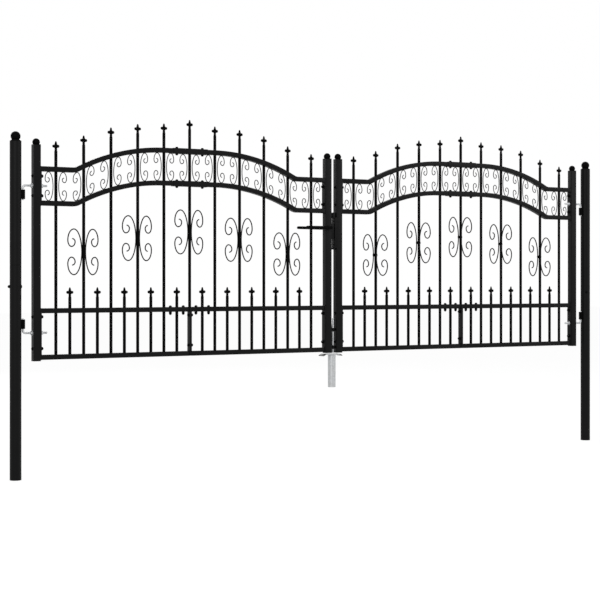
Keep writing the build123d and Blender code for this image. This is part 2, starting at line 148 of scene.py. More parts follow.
world = bpy.data.worlds.new("studio")
world.use_nodes = True
bpy.context.scene.world = world
sky_tree = world.node_tree
sky_rays = add_node(sky_tree, "ShaderNodeLightPath").outputs
camera_or_gloss = arithmetic(sky_tree, "MAXIMUM", sky_rays["Is Camera Ray"], sky_rays["Is Glossy Ray"])
seen_rays = arithmetic(sky_tree, "MAXIMUM", camera_or_gloss, sky_rays["Is Transmission Ray"])
sky = sky_tree.nodes["Background"]
sky.inputs["Color"].default_value = (1.0, 1.0, 1.0, 1.0)
sky_tree.links.new(between(sky_tree, seen_rays, ambient_strength, 1.0), sky.inputs["Strength"])
print("world: white to the camera, strength", ambient_strength, "as light")

# %% Floor
floor_half = 40.0
floor_glow_share = 0.78
floor_glow_strength = 1.05
floor_grey, floor_white = (0.93, 0.93, 0.93, 1), (0.97, 0.97, 0.97, 1)

floor_corners = floor_half * np.array([(-1, -1, 0), (1, -1, 0), (1, 1, 0), (-1, 1, 0)], float)
floor_mesh = bpy.data.meshes.new("floor")
floor_mesh.from_pydata(floor_corners.tolist(), [], [(0, 1, 2, 3)])
floor = bpy.data.objects.new("floor", floor_mesh)
bpy.context.scene.collection.objects.link(floor)

floor_paint, floor_tree, floor_shader, floor_where = new_finish("pale_floor")
floor_shader.inputs["Roughness"].default_value = 0.9
floor_shader.inputs["Specular IOR Level"].default_value = 0.1
floor_tone = blend(floor_tree, noise(floor_tree, floor_where, 0.8), floor_grey, floor_white)
floor_tree.links.new(floor_tone, floor_shader.inputs["Base Color"])
floor_glow = add_node(floor_tree, "ShaderNodeEmission", inputs={"Strength": floor_glow_strength})
floor_mix = add_node(
    floor_tree,
    "ShaderNodeMixShader",
    inputs={"Fac": floor_glow_share, 1: floor_shader.outputs["BSDF"], 2: floor_glow.outputs["Emission"]},
)
floor_tree.links.new(floor_mix.outputs["Shader"], floor_tree.nodes["Material Output"].inputs["Surface"])
floor_mesh.materials.append(floor_paint)
print("floor", 2 * floor_half, "m square")


# %% Lamps
def soft_lamp(name, place, target, size, power):
    """A square area lamp at a place, turned to face a target point."""
    lamp_data = bpy.data.lights.new(name, "AREA")
    lamp_data.size = size
    lamp_data.energy = power
    lamp = bpy.data.objects.new(name, lamp_data)
    lamp.location = place
    aim = np.array(target, float) - np.array(place, float)
    level = np.hypot(aim[0], aim[1])
    lamp.rotation_euler = (np.arctan2(level, -aim[2]), 0.0, np.arctan2(aim[1], aim[0]) - np.pi / 2)
    lamp.visible_camera = False
    bpy.context.scene.collection.objects.link(lamp)


gate_middle = (2.0, 0.0, 1.0)
soft_lamp("key_lamp", (-3.5, -6.0, 4.5), gate_middle, 3.0, 260.0)
soft_lamp("fill_lamp", (7.0, -5.0, 3.5), gate_middle, 3.0, 110.0)
soft_lamp("back_lamp", (2.0, 7.0, 4.5), gate_middle, 3.5, 160.0)
print("three soft lamps")

# %% [markdown]
# ## Black powder coat
#
# Powder is sprayed on and baked, and flows into a satin skin with a faint orange peel. Up close it is never one
# black: dust greys the upper faces a little, and the gloss changes in soft patches. Two noise patterns give those
# patches, a third fine one gives the peel as a bump, and the upward part of the surface normal places the dust.
# Bars, scrolls, knobs and bolts are too thin to hold a highlight and look a deeper black, so they get less sheen and
# a copy of the coat whose colour is darkened as painted shade.

# %% Powder coat
coat_dark = np.array((0.0020, 0.0020, 0.0021))
coat_light = np.array((0.0040, 0.0040, 0.0041))
coat_dust = (0.016, 0.0156, 0.0150, 1)


def powder_coat(name, roughness_low, roughness_high, sheen, shade):
    """Satin black: patchy near-black colour, dust on upward faces, patchy roughness and a fine orange peel.

    Sheen is the strength of the reflection, and shade the share of the light and dark tones that is kept: below 1
    it darkens the colour as painted shade.
    """
    material, tree, shader, where = new_finish(name)
    dark, light = ((*(shade * tone), 1) for tone in (coat_dark, coat_light))
    body = blend(tree, noise(tree, where, 9.0, 4.0), dark, light)
    normal = add_node(tree, "ShaderNodeNewGeometry").outputs["Normal"]
    upward = add_node(tree, "ShaderNodeSeparateXYZ", inputs={"Vector": normal}).outputs["Z"]
    settle = between(tree, upward, 0.0, 0.8, 0.45, 1.0)
    dust = arithmetic(tree, "MULTIPLY", settle, noise(tree, where, 130.0, 5.0))
    tree.links.new(blend(tree, dust, body, coat_dust), shader.inputs["Base Color"])
    gloss = between(tree, noise(tree, where, 34.0, 3.0), roughness_low, roughness_high)
    tree.links.new(gloss, shader.inputs["Roughness"])
    add_bump(tree, shader, noise(tree, where, 620.0), 0.10, 0.0004)
    shader.inputs["Specular IOR Level"].default_value = sheen
    return material


black_coat = powder_coat("black_powder_coat", 0.36, 0.52, 0.08, 1.0)
# The thin parts get the same coat with less sheen and a colour darkened as painted shade.
thin_shaded_coat = powder_coat("black_coat_painted_shade", 0.36, 0.52, 0.022, 0.4)
# The bolts' copy of the coat also has its colour halved as painted shade.
black_bolts = powder_coat("black_coated_bolts", 0.28, 0.42, 0.03, 0.5)
print("black finishes:", black_coat.name, thin_shaded_coat.name, black_bolts.name)

# %% [markdown]
# ## Galvanised steel
#
# The hinge bolts, the drop bolt and the ground socket are bare zinc. Hot zinc freezes in flat crystals, the spangle,
# which shine at slightly different tones. A cell pattern gives each crystal its own grey and its own roughness,
# and a soft noise adds the dull bloom that zinc gets outdoors. The bent wings of the ground socket are darkened with
# painted shade. Zinc is a metal, so its colour is what it reflects.

# %% Galvanised steel
zinc_bloom = (0.42, 0.42, 0.41, 1)
# Dark colour painted on the socket's wings as shade.
wing_shade_colour = (0.060, 0.058, 0.055, 1)
wing_shade_edge = 0.004


def zinc_finish(name, cells, dark, light, wings=None):
    """Zinc: one grey and one roughness for each crystal cell, a cloudy bloom over them, and a slight bump.

    Wings gives a place along x and a distance from it: painted shade darkens what lies farther out.
    """
    material, tree, shader, where = new_finish(name)
    crystal = add_node(tree, "ShaderNodeTexVoronoi", inputs={"Vector": where, "Scale": cells})
    tone = add_node(tree, "ShaderNodeSeparateColor", inputs={"Color": crystal.outputs["Color"]})
    cloud = noise(tree, where, 30.0, 5.0)
    grey = blend(tree, tone.outputs["Red"], dark, light)
    colour = blend(tree, between(tree, cloud, 0.0, 0.5, 0.45, 0.75), grey, zinc_bloom)
    if wings:
        middle, reach = wings
        across = add_node(tree, "ShaderNodeSeparateXYZ", inputs={"Vector": where}).outputs["X"]
        away = arithmetic(tree, "ABSOLUTE", arithmetic(tree, "SUBTRACT", across, middle))
        # Painted shade: beyond reach from the middle the wings turn dark.
        colour = blend(tree, between(tree, away, 0.0, 0.92, reach - wing_shade_edge, reach), colour, wing_shade_colour)
    tree.links.new(colour, shader.inputs["Base Color"])
    tree.links.new(between(tree, tone.outputs["Green"], 0.34, 0.5), shader.inputs["Roughness"])
    add_bump(tree, shader, cloud, 0.15, 0.0006)
    shader.inputs["Metallic"].default_value = 1.0
    return material


spangle_dark, spangle_light = (0.41, 0.42, 0.43, 1), (0.48, 0.49, 0.50, 1)
galvanised = zinc_finish("galvanised_steel", 130.0, spangle_dark, spangle_light)
zinc_plate = zinc_finish("zinc_plated_bolts", 480.0, (0.45, 0.46, 0.47, 1), (0.54, 0.55, 0.56, 1))
print("zinc finishes:", galvanised.name, zinc_plate.name)

# %% [markdown]
# ## Surfaces from rings
#
# Nearly every part of the gate is a section that travels: a tube along a line, a ball round its axis, a scroll along
# a curve. So one idea makes them all: a stack of rings, each a closed loop with the same number of points, skinned
# with quads. A solid end is closed by a fan to the middle of its ring. An open tube has no end: its rings run up the
# outside, over the rim and back down the inside, and the last joins the first.


# %% Loft
def loft(rings, shut=False):
    """Skin rings of shape (rings, points, 3). Quads join each ring to the next, and point i to point i + 1.

    With shut the last ring joins the first, else fans close both ends. Returns points, quads and triangles.
    """
    count, sides = rings.shape[:2]
    here = np.arange(count * sides).reshape(count, sides)
    beside = np.roll(here, -1, axis=1)
    rows = count if shut else count - 1
    above, above_beside = np.roll(here, -1, axis=0), np.roll(beside, -1, axis=0)
    quads = np.stack([here[:rows], beside[:rows], above_beside[:rows], above[:rows]], axis=-1).reshape(-1, 4)
    points = rings.reshape(-1, 3)
    if shut:
        return points, quads, np.empty((0, 3), int)
    hubs = np.full((2, sides), len(points)) + np.array([[0], [1]])
    foot_fan = np.stack([hubs[0], beside[0], here[0]], axis=-1)
    top_fan = np.stack([hubs[1], here[-1], beside[-1]], axis=-1)
    points = np.vstack([points, rings[0].mean(axis=0), rings[-1].mean(axis=0)])
    return points, quads, np.vstack([foot_fan, top_fan])


def even_angles(sides):
    """Angles that divide a whole turn evenly."""
    return 2 * np.pi * np.arange(sides) / sides


def round_rings(radius, level, angle):
    """Rings round the z axis, from a radius and a level for each ring and angle."""
    radius, level, angle = np.broadcast_arrays(radius, level, angle)
    return np.stack([radius * np.cos(angle), radius * np.sin(angle), level], axis=-1)


def circle(radius, sides):
    """Closed round profile: points at even angles."""
    angle = even_angles(sides)
    return radius * np.stack([np.cos(angle), np.sin(angle)], axis=-1)


def rounded_rectangle(width, height, radius, steps=4):
    """Closed profile: a quarter circle round each corner of an inner rectangle, counterclockwise."""
    quarter = np.pi / 2 * np.arange(4)[:, None]
    angle = quarter + np.linspace(0, np.pi / 2, steps + 1)[None]
    corner_x = np.sign(np.cos(quarter + np.pi / 4)) * (width / 2 - radius)
    corner_y = np.sign(np.sin(quarter + np.pi / 4)) * (height / 2 - radius)
    outline = np.stack([corner_x + radius * np.cos(angle), corner_y + radius * np.sin(angle)], axis=-1)
    return outline.reshape(-1, 2)


def carried_rings(path, profile, side, edge=0.0):
    """Carry a profile along a path in a plane that side is square to, mitred where the path turns.

    A ring is its path point plus the profile's first coordinate across the path and its second along side.
    The first and last rings shrink on a quarter round of radius edge.
    """
    path, side = np.asarray(path, float), np.asarray(side, float)
    steps = np.diff(path, axis=0)
    steps /= np.linalg.norm(steps, axis=1, keepdims=True)
    mean = (np.vstack([steps[:1], steps]) + np.vstack([steps, steps[-1:]])) / 2
    fold = np.linalg.norm(mean, axis=1, keepdims=True)
    tangent = mean / fold
    across = np.cross(side, tangent) / fold
    if not edge:
        return path[:, None] + profile[:, :1] * across[:, None] + profile[:, 1:] * side
    turn = np.linspace(0, np.pi / 2, 4)
    shrink = 1 - edge * (1 - np.sin(turn))[:, None] / np.abs(profile).max(axis=0)
    advance = edge * (1 - np.cos(turn))[:, None]
    middle = path[1:-1], across[1:-1], np.ones((len(path) - 2, 2))
    first = path[0] + advance * tangent[0], np.repeat(across[:1], 4, axis=0), shrink
    last = (path[-1] - advance * tangent[-1])[::-1], np.repeat(across[-1:], 4, axis=0), shrink[::-1]
    path, across, scale = (np.concatenate(parts) for parts in zip(first, middle, last))
    sized = profile[None] * scale[:, None]
    return path[:, None] + sized[..., :1] * across[:, None] + sized[..., 1:] * side


def carried(path, profile, side, edge=0.0):
    """Solid bar: the skin of a profile carried along a path."""
    return loft(carried_rings(path, profile, side, edge))


def turned(profile, sides, shut=False):
    """Lathe: each (radius, height) pair of the profile becomes a level ring round the z axis."""
    radius, height = np.asarray(profile, float).T[:, :, None]
    return loft(round_rings(radius, height, even_angles(sides)), shut)


def arc_points(centre, radius, start, stop, steps):
    """Points on a circle in a profile plane, from a start angle to a stop angle in degrees."""
    angle = np.radians(np.linspace(start, stop, steps + 1))
    return np.asarray(centre) + radius * np.stack([np.cos(angle), np.sin(angle)], axis=-1)


print("ring helpers ready")

# %% [markdown]
# ## From surfaces to pieces
#
# A piece is often many like surfaces, such as all the spear heads of a leaf. They are stacked into one mesh with
# foreach_set, which takes whole arrays. Each piece then rides on a body of the frame, stands for the CAD nodes
# that it replaces, which are hidden, and carries its finish. A thin dark bar before white loses width in a picture,
# so tubes and bars are drawn about a millimetre outside their CAD solids, the thinner ones a little more.

# %% Piece helpers
sharp_angle = 38.0
up, out, along = np.eye(3)[[2, 1, 0]]
film = 0.0008
slim_film = 0.0012


def shifted(shape, offset):
    """Move a surface by an offset."""
    points, quads, triangles = shape
    return points + np.asarray(offset, float), quads, triangles


def aimed(shape, place, axis):
    """Turn a surface made round the z axis so that z runs along an axis, and put its origin at a place."""
    points, quads, triangles = shape
    axis = np.asarray(axis, float)
    helper = np.array((0.0, 0.0, 1.0)) if abs(axis[2]) < 0.5 else np.array((1.0, 0.0, 0.0))
    first = np.cross(helper, axis)
    first /= np.linalg.norm(first)
    basis = np.stack([first, np.cross(axis, first), axis])
    return points @ basis + np.asarray(place, float), quads, triangles


def upright(place, foot, top, profile, edge):
    """Solid upright bar at a place along x: a profile carried from foot to top, with rounded ends."""
    return carried([(place, 0, foot), (place, 0, top)], profile, out, edge)


def block(low, high, edge):
    """Solid box between two corners with all its edges rounded: a rounded rectangle carried upwards."""
    low, high = np.minimum(low, high), np.maximum(low, high)
    middle, size = (low + high) / 2, high - low
    path = [(middle[0], middle[1], low[2]), (middle[0], middle[1], high[2])]
    return carried(path, rounded_rectangle(size[0], size[1], edge), (0.0, 1.0, 0.0), edge)


def make_piece(name, shapes, finish, body, nodes=()):
    """Stack surfaces into one smooth mesh, sharp where faces meet steeply, and hand it to the frame."""
    offsets = np.cumsum([0] + [len(points) for points, _, _ in shapes])
    points = np.vstack([shape[0] for shape in shapes])
    quads = np.vstack([shape[1] + offset for shape, offset in zip(shapes, offsets)])
    triangles = np.vstack([shape[2] + offset for shape, offset in zip(shapes, offsets)])
    sizes = np.concatenate([np.full(len(quads), 4), np.full(len(triangles), 3)])
    mesh = bpy.data.meshes.new(name)
    mesh.vertices.add(len(points))
    mesh.vertices.foreach_set("co", points.ravel())
    mesh.loops.add(int(sizes.sum()))
    mesh.loops.foreach_set("vertex_index", np.concatenate([quads.ravel(), triangles.ravel()]))
    mesh.polygons.add(len(sizes))
    mesh.polygons.foreach_set("loop_start", np.concatenate([[0], np.cumsum(sizes)[:-1]]))
    mesh.polygons.foreach_set("use_smooth", np.ones(len(sizes), bool))
    mesh.update(calc_edges=True)
    mesh.set_sharp_from_angle(angle=np.radians(sharp_angle))
    mesh.materials.append(finish)
    piece = bpy.data.objects.new(name, mesh)
    bpy.context.scene.collection.objects.link(piece)
    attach(piece, body)
    if nodes:
        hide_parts(*nodes)
    print(name, "on", body, "faces", len(sizes))
    return piece


def corners(node):
    """Lowest and highest corner of a CAD node, as arrays."""
    low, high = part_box(node)
    return np.array(low), np.array(high)


def black(name, shapes, body, nodes=()):
    """A powder-coated piece."""
    return make_piece(name, shapes, black_coat, body, nodes)


def slim(name, shapes, body, nodes=()):
    """A thin or small powder-coated piece in the black coat darkened with painted shade."""
    return make_piece(name, shapes, thin_shaded_coat, body, nodes)


def bolted(name, shapes, body, nodes=()):
    """A piece made of black coated bolts and nuts."""
    return make_piece(name, shapes, black_bolts, body, nodes)


def zinc(name, shapes, finish, body, nodes=()):
    """A bare zinc piece."""
    return make_piece(name, shapes, finish, body, nodes)


def plated(name, shapes, body, nodes=()):
    """A zinc-plated bolt or nut."""
    return zinc(name, shapes, zinc_plate, body, nodes)


print("piece helpers ready, films", film, slim_film)

# %% [markdown]
# ## Posts
#
# Each post is two lengths of round tube, one plugged into the other, with a cast ball cap. The tube is a lathe
# shape: its profile runs up the outside, over the rim and down the inside, so the foot shows an open tube. The rolled
# rims leave a fine groove at the joint. A through bolt with a domed head on each side pins the lower tube.


# %% Post tubes
def tube_profile(radius, wall, foot, top, edge):
    """Closed profile of a round tube: up the outside with broken edges, then down the inside."""
    outside = [(radius - edge, foot), (radius, foot + edge), (radius, top - edge), (radius - edge, top)]
    return outside + [(radius - wall, top), (radius - wall, foot)]


post_wall = 0.003
post_rim = 0.0011
post_sides = 72
post_film = 1.6 * film

post_places = {}
for side in ("left", "right"):
    post_low, post_joint = corners(f"{side}_post_lower")
    _, post_top = corners(f"{side}_post_upper")
    post_radius = (post_joint[0] - post_low[0]) / 2
    post_places[side] = np.array([(post_low[0] + post_joint[0]) / 2, 0.0, 0.0])
    post_skin = post_radius + post_film
    tubes = [
        turned(tube_profile(post_skin, post_wall, foot, top, post_rim), post_sides, shut=True)
        for foot, top in ((post_low[2], post_joint[2]), (post_joint[2], post_top[2]))
    ]
    shapes = [shifted(tube, post_places[side]) for tube in tubes]
    black(f"{side}_post_tubes", shapes, "posts", [f"{side}_post_lower", f"{side}_post_upper"])

# %% Ball caps of the posts
cap_low, cap_high = corners("post_caps")
cap_cone = 0.010
cap_neck_radius = 0.017
cap_ball_radius = 0.0267
cap_lip = 0.0016
cap_fillet = 0.0016
cap_plug = (0.003, 0.004)


def ball_profile(neck_radius, ball_radius, top, steps=28):
    """Profile of a ball from the circle where its neck meets it up to its pole, which lies at the height top."""
    start = -np.degrees(np.arccos(neck_radius / ball_radius))
    return arc_points((0.0, top - ball_radius), ball_radius, start, 89.0, steps)


fillet_middle = (cap_neck_radius + cap_fillet, cap_low[2] + cap_cone + cap_fillet)
cap_slope = arc_points(fillet_middle, cap_fillet, 250, 180, 4)
cap_profile = np.vstack(
    [
        [(post_skin - cap_plug[0], cap_low[2] - cap_plug[1]), (post_skin - cap_lip / 3, cap_low[2])],
        [(post_skin, cap_low[2] + cap_lip / 3), (post_skin, cap_low[2] + cap_lip)],
        [(post_skin - cap_lip / 2, cap_low[2] + 1.4 * cap_lip)],
        cap_slope,
        ball_profile(cap_neck_radius, cap_ball_radius, cap_high[2]),
    ]
)
cap = turned(cap_profile, post_sides)
slim("post_ball_caps", [shifted(cap, place) for place in post_places.values()], "posts", ["post_caps"])


# %% [markdown]
# ## Bolts and nuts
#
# Black domed bolts hold the whole kit together. A dome is a quarter ellipse turned round the bolt's axis. A hex nut
# is a ring whose radius follows the six flats, cut back at the rims as if turned on a lathe, which gives the
# curved chamfers. A cap nut is such a ring under a tall dome. A thread is one grid: its radius is a triangle wave of
# height along the bolt minus the turn round it, so that the ridge climbs one pitch a turn.

# %% Fasteners
washer_share = 1.12
washer_thickness = 0.0014
head_seat = 0.0012
nut_seat = 0.0013


def dome_head(radius, height, rim_share=0.2, sides=24):
    """Domed bolt head standing on z = 0: an upright rim, then a quarter ellipse up to the pole."""
    angle = np.radians(np.linspace(0, 86, 9))
    rim = rim_share * height
    dome = np.stack([radius * np.cos(angle), rim + (height - rim) * np.sin(angle)], axis=-1)
    return turned(np.vstack([[(radius * 0.92, 0.0), (radius, rim / 3)], dome]), sides)


def hex_nut(across_flats, height, sides=48):
    """Hex nut standing on z = 0: radius of a hexagon at each angle, limited near the rims by a cone."""
    angle = even_angles(sides)
    flat = across_flats / 2
    hexagon = flat / np.cos((angle + np.pi / 6) % (np.pi / 3) - np.pi / 6)
    rim, shoulder = 1.02 * flat, height / 6
    radius = np.stack([np.minimum(hexagon, rim), hexagon, hexagon, np.minimum(hexagon, rim)])
    level = np.array([0.0, shoulder, height - shoulder, height])[:, None]
    return loft(round_rings(radius, level, angle))


def washer(radius, thickness, sides=32):
    """Flat disc on z = 0 with a broken edge; the bolt through it hides its hole."""
    edge = thickness / 3
    return turned([(radius - edge, 0), (radius, edge), (radius, thickness - edge), (radius - edge, thickness)], sides)


def thread(radius, length, pitch, depth, sides=20):
    """Threaded rod standing on z = 0: a triangle wave of height over pitch minus turn cuts into the radius."""
    angle = even_angles(sides)
    level = np.linspace(0, length, int(6 * length / pitch) + 1)[:, None]
    wave = np.abs(2 * ((level / pitch - angle / (2 * np.pi)) % 1.0) - 1)
    fade = np.clip(np.minimum(level, length - level) / pitch, 0, 1)
    return loft(round_rings(radius - depth * (1 - fade * (1 - wave)), level, angle))


def domed_bolt(place, axis, radius=0.0085, height=0.0075):
    """A washer and a domed head on a face, standing out along an axis."""
    seat = aimed(washer(radius * washer_share, washer_thickness), place, axis)
    head = aimed(dome_head(radius, height), np.asarray(place) + head_seat * np.asarray(axis, float), axis)
    return [seat, head]


def cap_nut(place, axis, radius=0.0088, length=0.0195):
    """A washer and a cap nut on a face, standing out along an axis: a hexagon and a round cap over the thread."""
    place, axis = np.asarray(place, float), np.asarray(axis, float)
    seat = aimed(washer(radius * washer_share, washer_thickness), place, axis)
    hexagon = aimed(hex_nut(1.9 * radius, 0.45 * length), place + nut_seat * axis, axis)
    cap = aimed(dome_head(0.93 * radius, length, 0.55), place, axis)
    return [seat, hexagon, cap]


post_bolts = {"left": (1.044, 161.0, 0.0105), "right": (1.000, -115.0, 0.0035)}
post_bolt_back = 0.0035
post_bolt_sink = 0.0008
shapes = []
for side, (height, heading, proud) in post_bolts.items():
    axis = np.array((np.cos(np.radians(heading)), np.sin(np.radians(heading)), 0.0))
    middle = post_places[side] + (0, 0, height)
    reach = (post_skin - post_bolt_sink) * axis
    shapes += domed_bolt(middle + reach, axis, height=proud)
    shapes += domed_bolt(middle - reach, -axis, height=post_bolt_back)
bolted("post_bolts", shapes, "posts")

# %% [markdown]
# ## One leaf's own frame
#
# The right leaf is the left one turned half round, so everything on a leaf is made once, in the leaf's own frame: u
# runs from the hinge stile to the meeting stile with zero in the middle, z is up. A helper then turns and moves the
# finished surface to its side. The main sizes come from the boxes of the CAD nodes.

# %% Leaf sizes
leaf_centre, leaf_sign = {}, {}
for side in ("left", "right"):
    hinge_low, hinge_high = corners(f"{side}_hinge_stile")
    meeting_low, meeting_high = corners(f"{side}_meeting_stile")
    leaf_centre[side] = (hinge_low + hinge_high + meeting_low + meeting_high)[0] / 4
    leaf_sign[side] = np.sign(meeting_low[0] - hinge_low[0])
stile_size = hinge_high[0] - hinge_low[0]
stile_foot, stile_top = hinge_low[2], hinge_high[2]
stile_place = abs(meeting_low[0] - hinge_low[0]) / 2
gap_face = stile_place + stile_size / 2

rail_low, rail_high = corners("left_bottom_rail")
rail_size = rail_high[2] - rail_low[2]
rail_end = (rail_high[0] - rail_low[0]) / 2
bottom_rail_top = rail_high[2]
mid_rail_low, mid_rail_high = corners("left_mid_rail")
mid_rail_top = mid_rail_high[2]

arch_low, arch_high = corners("left_lower_arch_rail")
upper_low, _ = corners("left_upper_arch_rail")
arch_size = arch_high[1] - arch_low[1]
arch_half = arch_size / 2
lower_arch = arch_low[2] + arch_half
upper_arch = upper_low[2] + arch_half
arch_rise = arch_high[2] - arch_low[2] - arch_size
print("leaf", np.round(2 * gap_face, 3), "m wide, arch rise", np.round(arch_rise, 4))


# %% Leaf helpers
def on_leaf(side, shape):
    """Turn a surface from the leaf's own frame to its side of the gate."""
    points, quads, triangles = shape
    sign = leaf_sign[side]
    return points * (sign, sign, 1.0) + (leaf_centre[side], 0.0, 0.0), quads, triangles


def both_leaves(name, shapes, maker, nodes):
    """Make one piece on each leaf from surfaces in the leaf's frame; nodes are the replaced nodes' names."""
    for side in ("left", "right"):
        turned_shapes = [on_leaf(side, shape) for shape in shapes]
        maker(f"{side}_{name}", turned_shapes, f"{side}_leaf", [f"{side}_{node}" for node in nodes])


bar_low, bar_high = corners("left_long_bars")
bar_count = 11
bar_radius = (bar_high[1] - bar_low[1]) / 2
bar_pitch = (bar_high[0] - bar_low[0] - 2 * bar_radius) / (bar_count - 1)
bar_places = bar_pitch * (np.arange(bar_count) - bar_count // 2)
picket_places = bar_places[:-1] + bar_pitch / 2
print("bar pitch", np.round(bar_pitch, 4))

# %% [markdown]
# ## Stiles
#
# The uprights of a leaf are square tubes with rounded corners. A rounded square carried upwards is enough, with its
# end edges rounded too, because a paint film never ends in a knife edge. Each is closed by a small plate with a
# ball on a short neck, which is a lathe shape again.

# %% Stiles and their ball caps
stile_corner = 0.0035
stile_ball_radius = 0.0206
stile_neck_radius = 0.0135
stile_edge = 0.0008
plate_thickness = 0.003
plate_edge = 0.0011
knob_fillet = 0.0022
knob_sink = 0.0006
knob_sides = 48
_, stile_cap_high = corners("left_stile_caps")

stile_skin = stile_size + 2 * film
stile_profile = rounded_rectangle(stile_skin, stile_skin, stile_corner, 5)
stiles, stile_caps = [], []
for place in (-stile_place, stile_place):
    stiles.append(upright(place, stile_foot, stile_top, stile_profile, stile_edge))
    plate_top = stile_top + plate_thickness
    plate = upright(place, stile_top, plate_top, stile_profile, plate_edge)
    neck_middle = (stile_neck_radius + knob_fillet, plate_top + knob_fillet - knob_sink)
    neck = arc_points(neck_middle, knob_fillet, 225, 180, 3)
    ball = ball_profile(stile_neck_radius, stile_ball_radius, stile_cap_high[2])
    knob = turned(np.vstack([[(stile_neck_radius, stile_top)], neck, ball[1:]]), knob_sides)
    stile_caps += [plate, shifted(knob, (place, 0, 0))]
both_leaves("square_stiles", stiles, black, ["hinge_stile", "meeting_stile"])
both_leaves("stile_ball_caps", stile_caps, slim, ["stile_caps"])

# %% [markdown]
# ## Rails
#
# The two straight rails are lengths of square tube between the flanges. The arched rails leave the stile level, turn
# sharply into a long arc and run level again over the middle. The arc follows from its rise and its run: its radius
# is the run squared plus the rise squared, over twice the rise. The sharp turn is eased by a short curve, as a bent
# tube is. In the photograph these rails show a broad underside, so they are drawn as flat tube, as deep as the
# flanges at their ends, where the CAD has square tube. A sleeve of larger tube covers the joint in the middle.

# %% Straight rails
rail_corner = 0.0022
rail_edge = 0.0004
rail_skin = rail_size + 2 * slim_film
rail_profile = rounded_rectangle(rail_skin, rail_skin, rail_corner)
flange_low, flange_high = corners("left_centre_flanges")
flange_half = (flange_high[0] - flange_low[0]) / 2
straight_rails = []
for height in (rail_low[2] + rail_size / 2, mid_rail_low[2] + rail_size / 2):
    for direction in (-1, 1):
        ends = sorted((direction * flange_half, direction * rail_end))
        path = [(end, 0, height) for end in ends]
        straight_rails.append(carried(path, rail_profile, out, rail_edge))
both_leaves("straight_rails", straight_rails, black, ["bottom_rail", "mid_rail"])

# %% Arch line
arch_foot_pitches = 4.3
arch_top_pitches = 1.0
arch_ease = 0.014

arch_top_end = arch_top_pitches * bar_pitch
arch_run = arch_foot_pitches * bar_pitch - arch_top_end
arch_radius = (arch_run**2 + arch_rise**2) / (2 * arch_rise)


def arch_edge(place, offset):
    """Height over the level ends of the line that runs offset above the arch's centre line, at any places u."""
    reach = np.maximum(np.abs(place) - arch_top_end, 0)
    arc = arch_rise - arch_radius + np.sqrt(np.maximum((arch_radius + offset) ** 2 - reach**2, 0))
    return np.maximum(offset, arc)


def arch_path(height):
    """Centre line of an arched rail: level end, eased turn, arc, level top, and the same mirrored."""
    foot = arch_run + arch_top_end
    turn = np.linspace(0, 1, 7)[:, None]
    slope_end = np.array((arch_ease - foot, arch_edge(arch_ease - foot, 0)))
    bend = (1 - turn) ** 2 * (-foot - arch_ease, 0) + 2 * turn * (1 - turn) * (-foot, 0) + turn**2 * slope_end
    place = np.concatenate([np.linspace(slope_end[0], -arch_top_end, 40)[1:], [-arch_top_end / 2]])
    half = np.vstack([[(-rail_end, 0)], bend, np.stack([place, arch_edge(place, 0)], axis=-1)])
    whole = np.vstack([half, half[::-1] * (-1, 1)])
    return np.stack([whole[:, 0], 0 * whole[:, 0], height + whole[:, 1]], axis=-1)


# %% Arched rails and sleeves
arch_skin = arch_size + 2 * slim_film
end_low, end_high = corners("left_end_flanges")
end_depth = end_high[1] - end_low[1]
arch_corner = 0.0026
arch_profile = rounded_rectangle(arch_skin, end_depth, arch_corner)
arched_rails = [carried(arch_path(height), arch_profile, out, rail_edge) for height in (lower_arch, upper_arch)]
both_leaves("arched_rails", arched_rails, black, ["lower_arch_rail", "upper_arch_rail"])

sleeve_low, sleeve_high = corners("left_arch_sleeves")
sleeve_half = (sleeve_high[0] - sleeve_low[0]) / 2
sleeve_size = sleeve_high[1] - sleeve_low[1] + 2 * slim_film
sleeve_depth = sleeve_size + end_depth - arch_skin
sleeve_wall = 0.0022
sleeve_rim = 0.0007
sleeve_corners = {"outer": 0.0034, "rim": 0.003, "inner": 0.002}


def cover_at(place):
    """Half height of what a bar passes through: the sleeve at the middle bar, else the arched rail."""
    return sleeve_size / 2 if abs(place) < bar_radius else arch_half


def flat_sleeve(height):
    """Open flat tube along u: outer rings with broken rims, then inner rings, joined in a loop."""
    cuts = {"outer": 0.0, "rim": sleeve_rim, "inner": sleeve_wall}
    outer, rim, inner = (
        rounded_rectangle(sleeve_depth - 2 * cut, sleeve_size - 2 * cut, sleeve_corners[name])
        for name, cut in cuts.items()
    )
    stations = [
        (-sleeve_half, rim),
        (sleeve_rim - sleeve_half, outer),
        (sleeve_half - sleeve_rim, outer),
        (sleeve_half, rim),
        (sleeve_half, inner),
        (-sleeve_half, inner),
    ]
    rings = [np.stack([np.full(len(ring), u), ring[:, 0], height + ring[:, 1]], axis=-1) for u, ring in stations]
    return loft(np.array(rings), shut=True)


arch_tops = [lower_arch + arch_rise, upper_arch + arch_rise]
both_leaves("rail_sleeves", [flat_sleeve(height) for height in arch_tops], black, ["arch_sleeves"])

# %% [markdown]
# ## Bars and spear heads
#
# Eleven long bars run from the bottom rail through the other rails, and ten short pickets stand between them. Each
# ends in a cast spear head: a slim spike over two rounded lobes, flat from front to back. The head is a stack of
# ellipses. Their half width follows the spike in a straight line, then the lobes as half a circle, then the neck.

# %% Bars
bar_rise = 0.153
bar_rise_shares = (1.01, 1.11, 1.05, 1.0, 1.0, 1.19)
bar_sink = 0.001
bar_edge = 0.0005
bar_sides = 20
spear_height = 0.054

rise_index = np.minimum(np.arange(bar_count), bar_count - 1 - np.arange(bar_count))
long_tips = upper_arch + arch_edge(bar_places, 0) + bar_rise * np.array(bar_rise_shares)[rise_index]
_, picket_high = corners("left_pickets")
picket_tip = picket_high[2] + spear_height

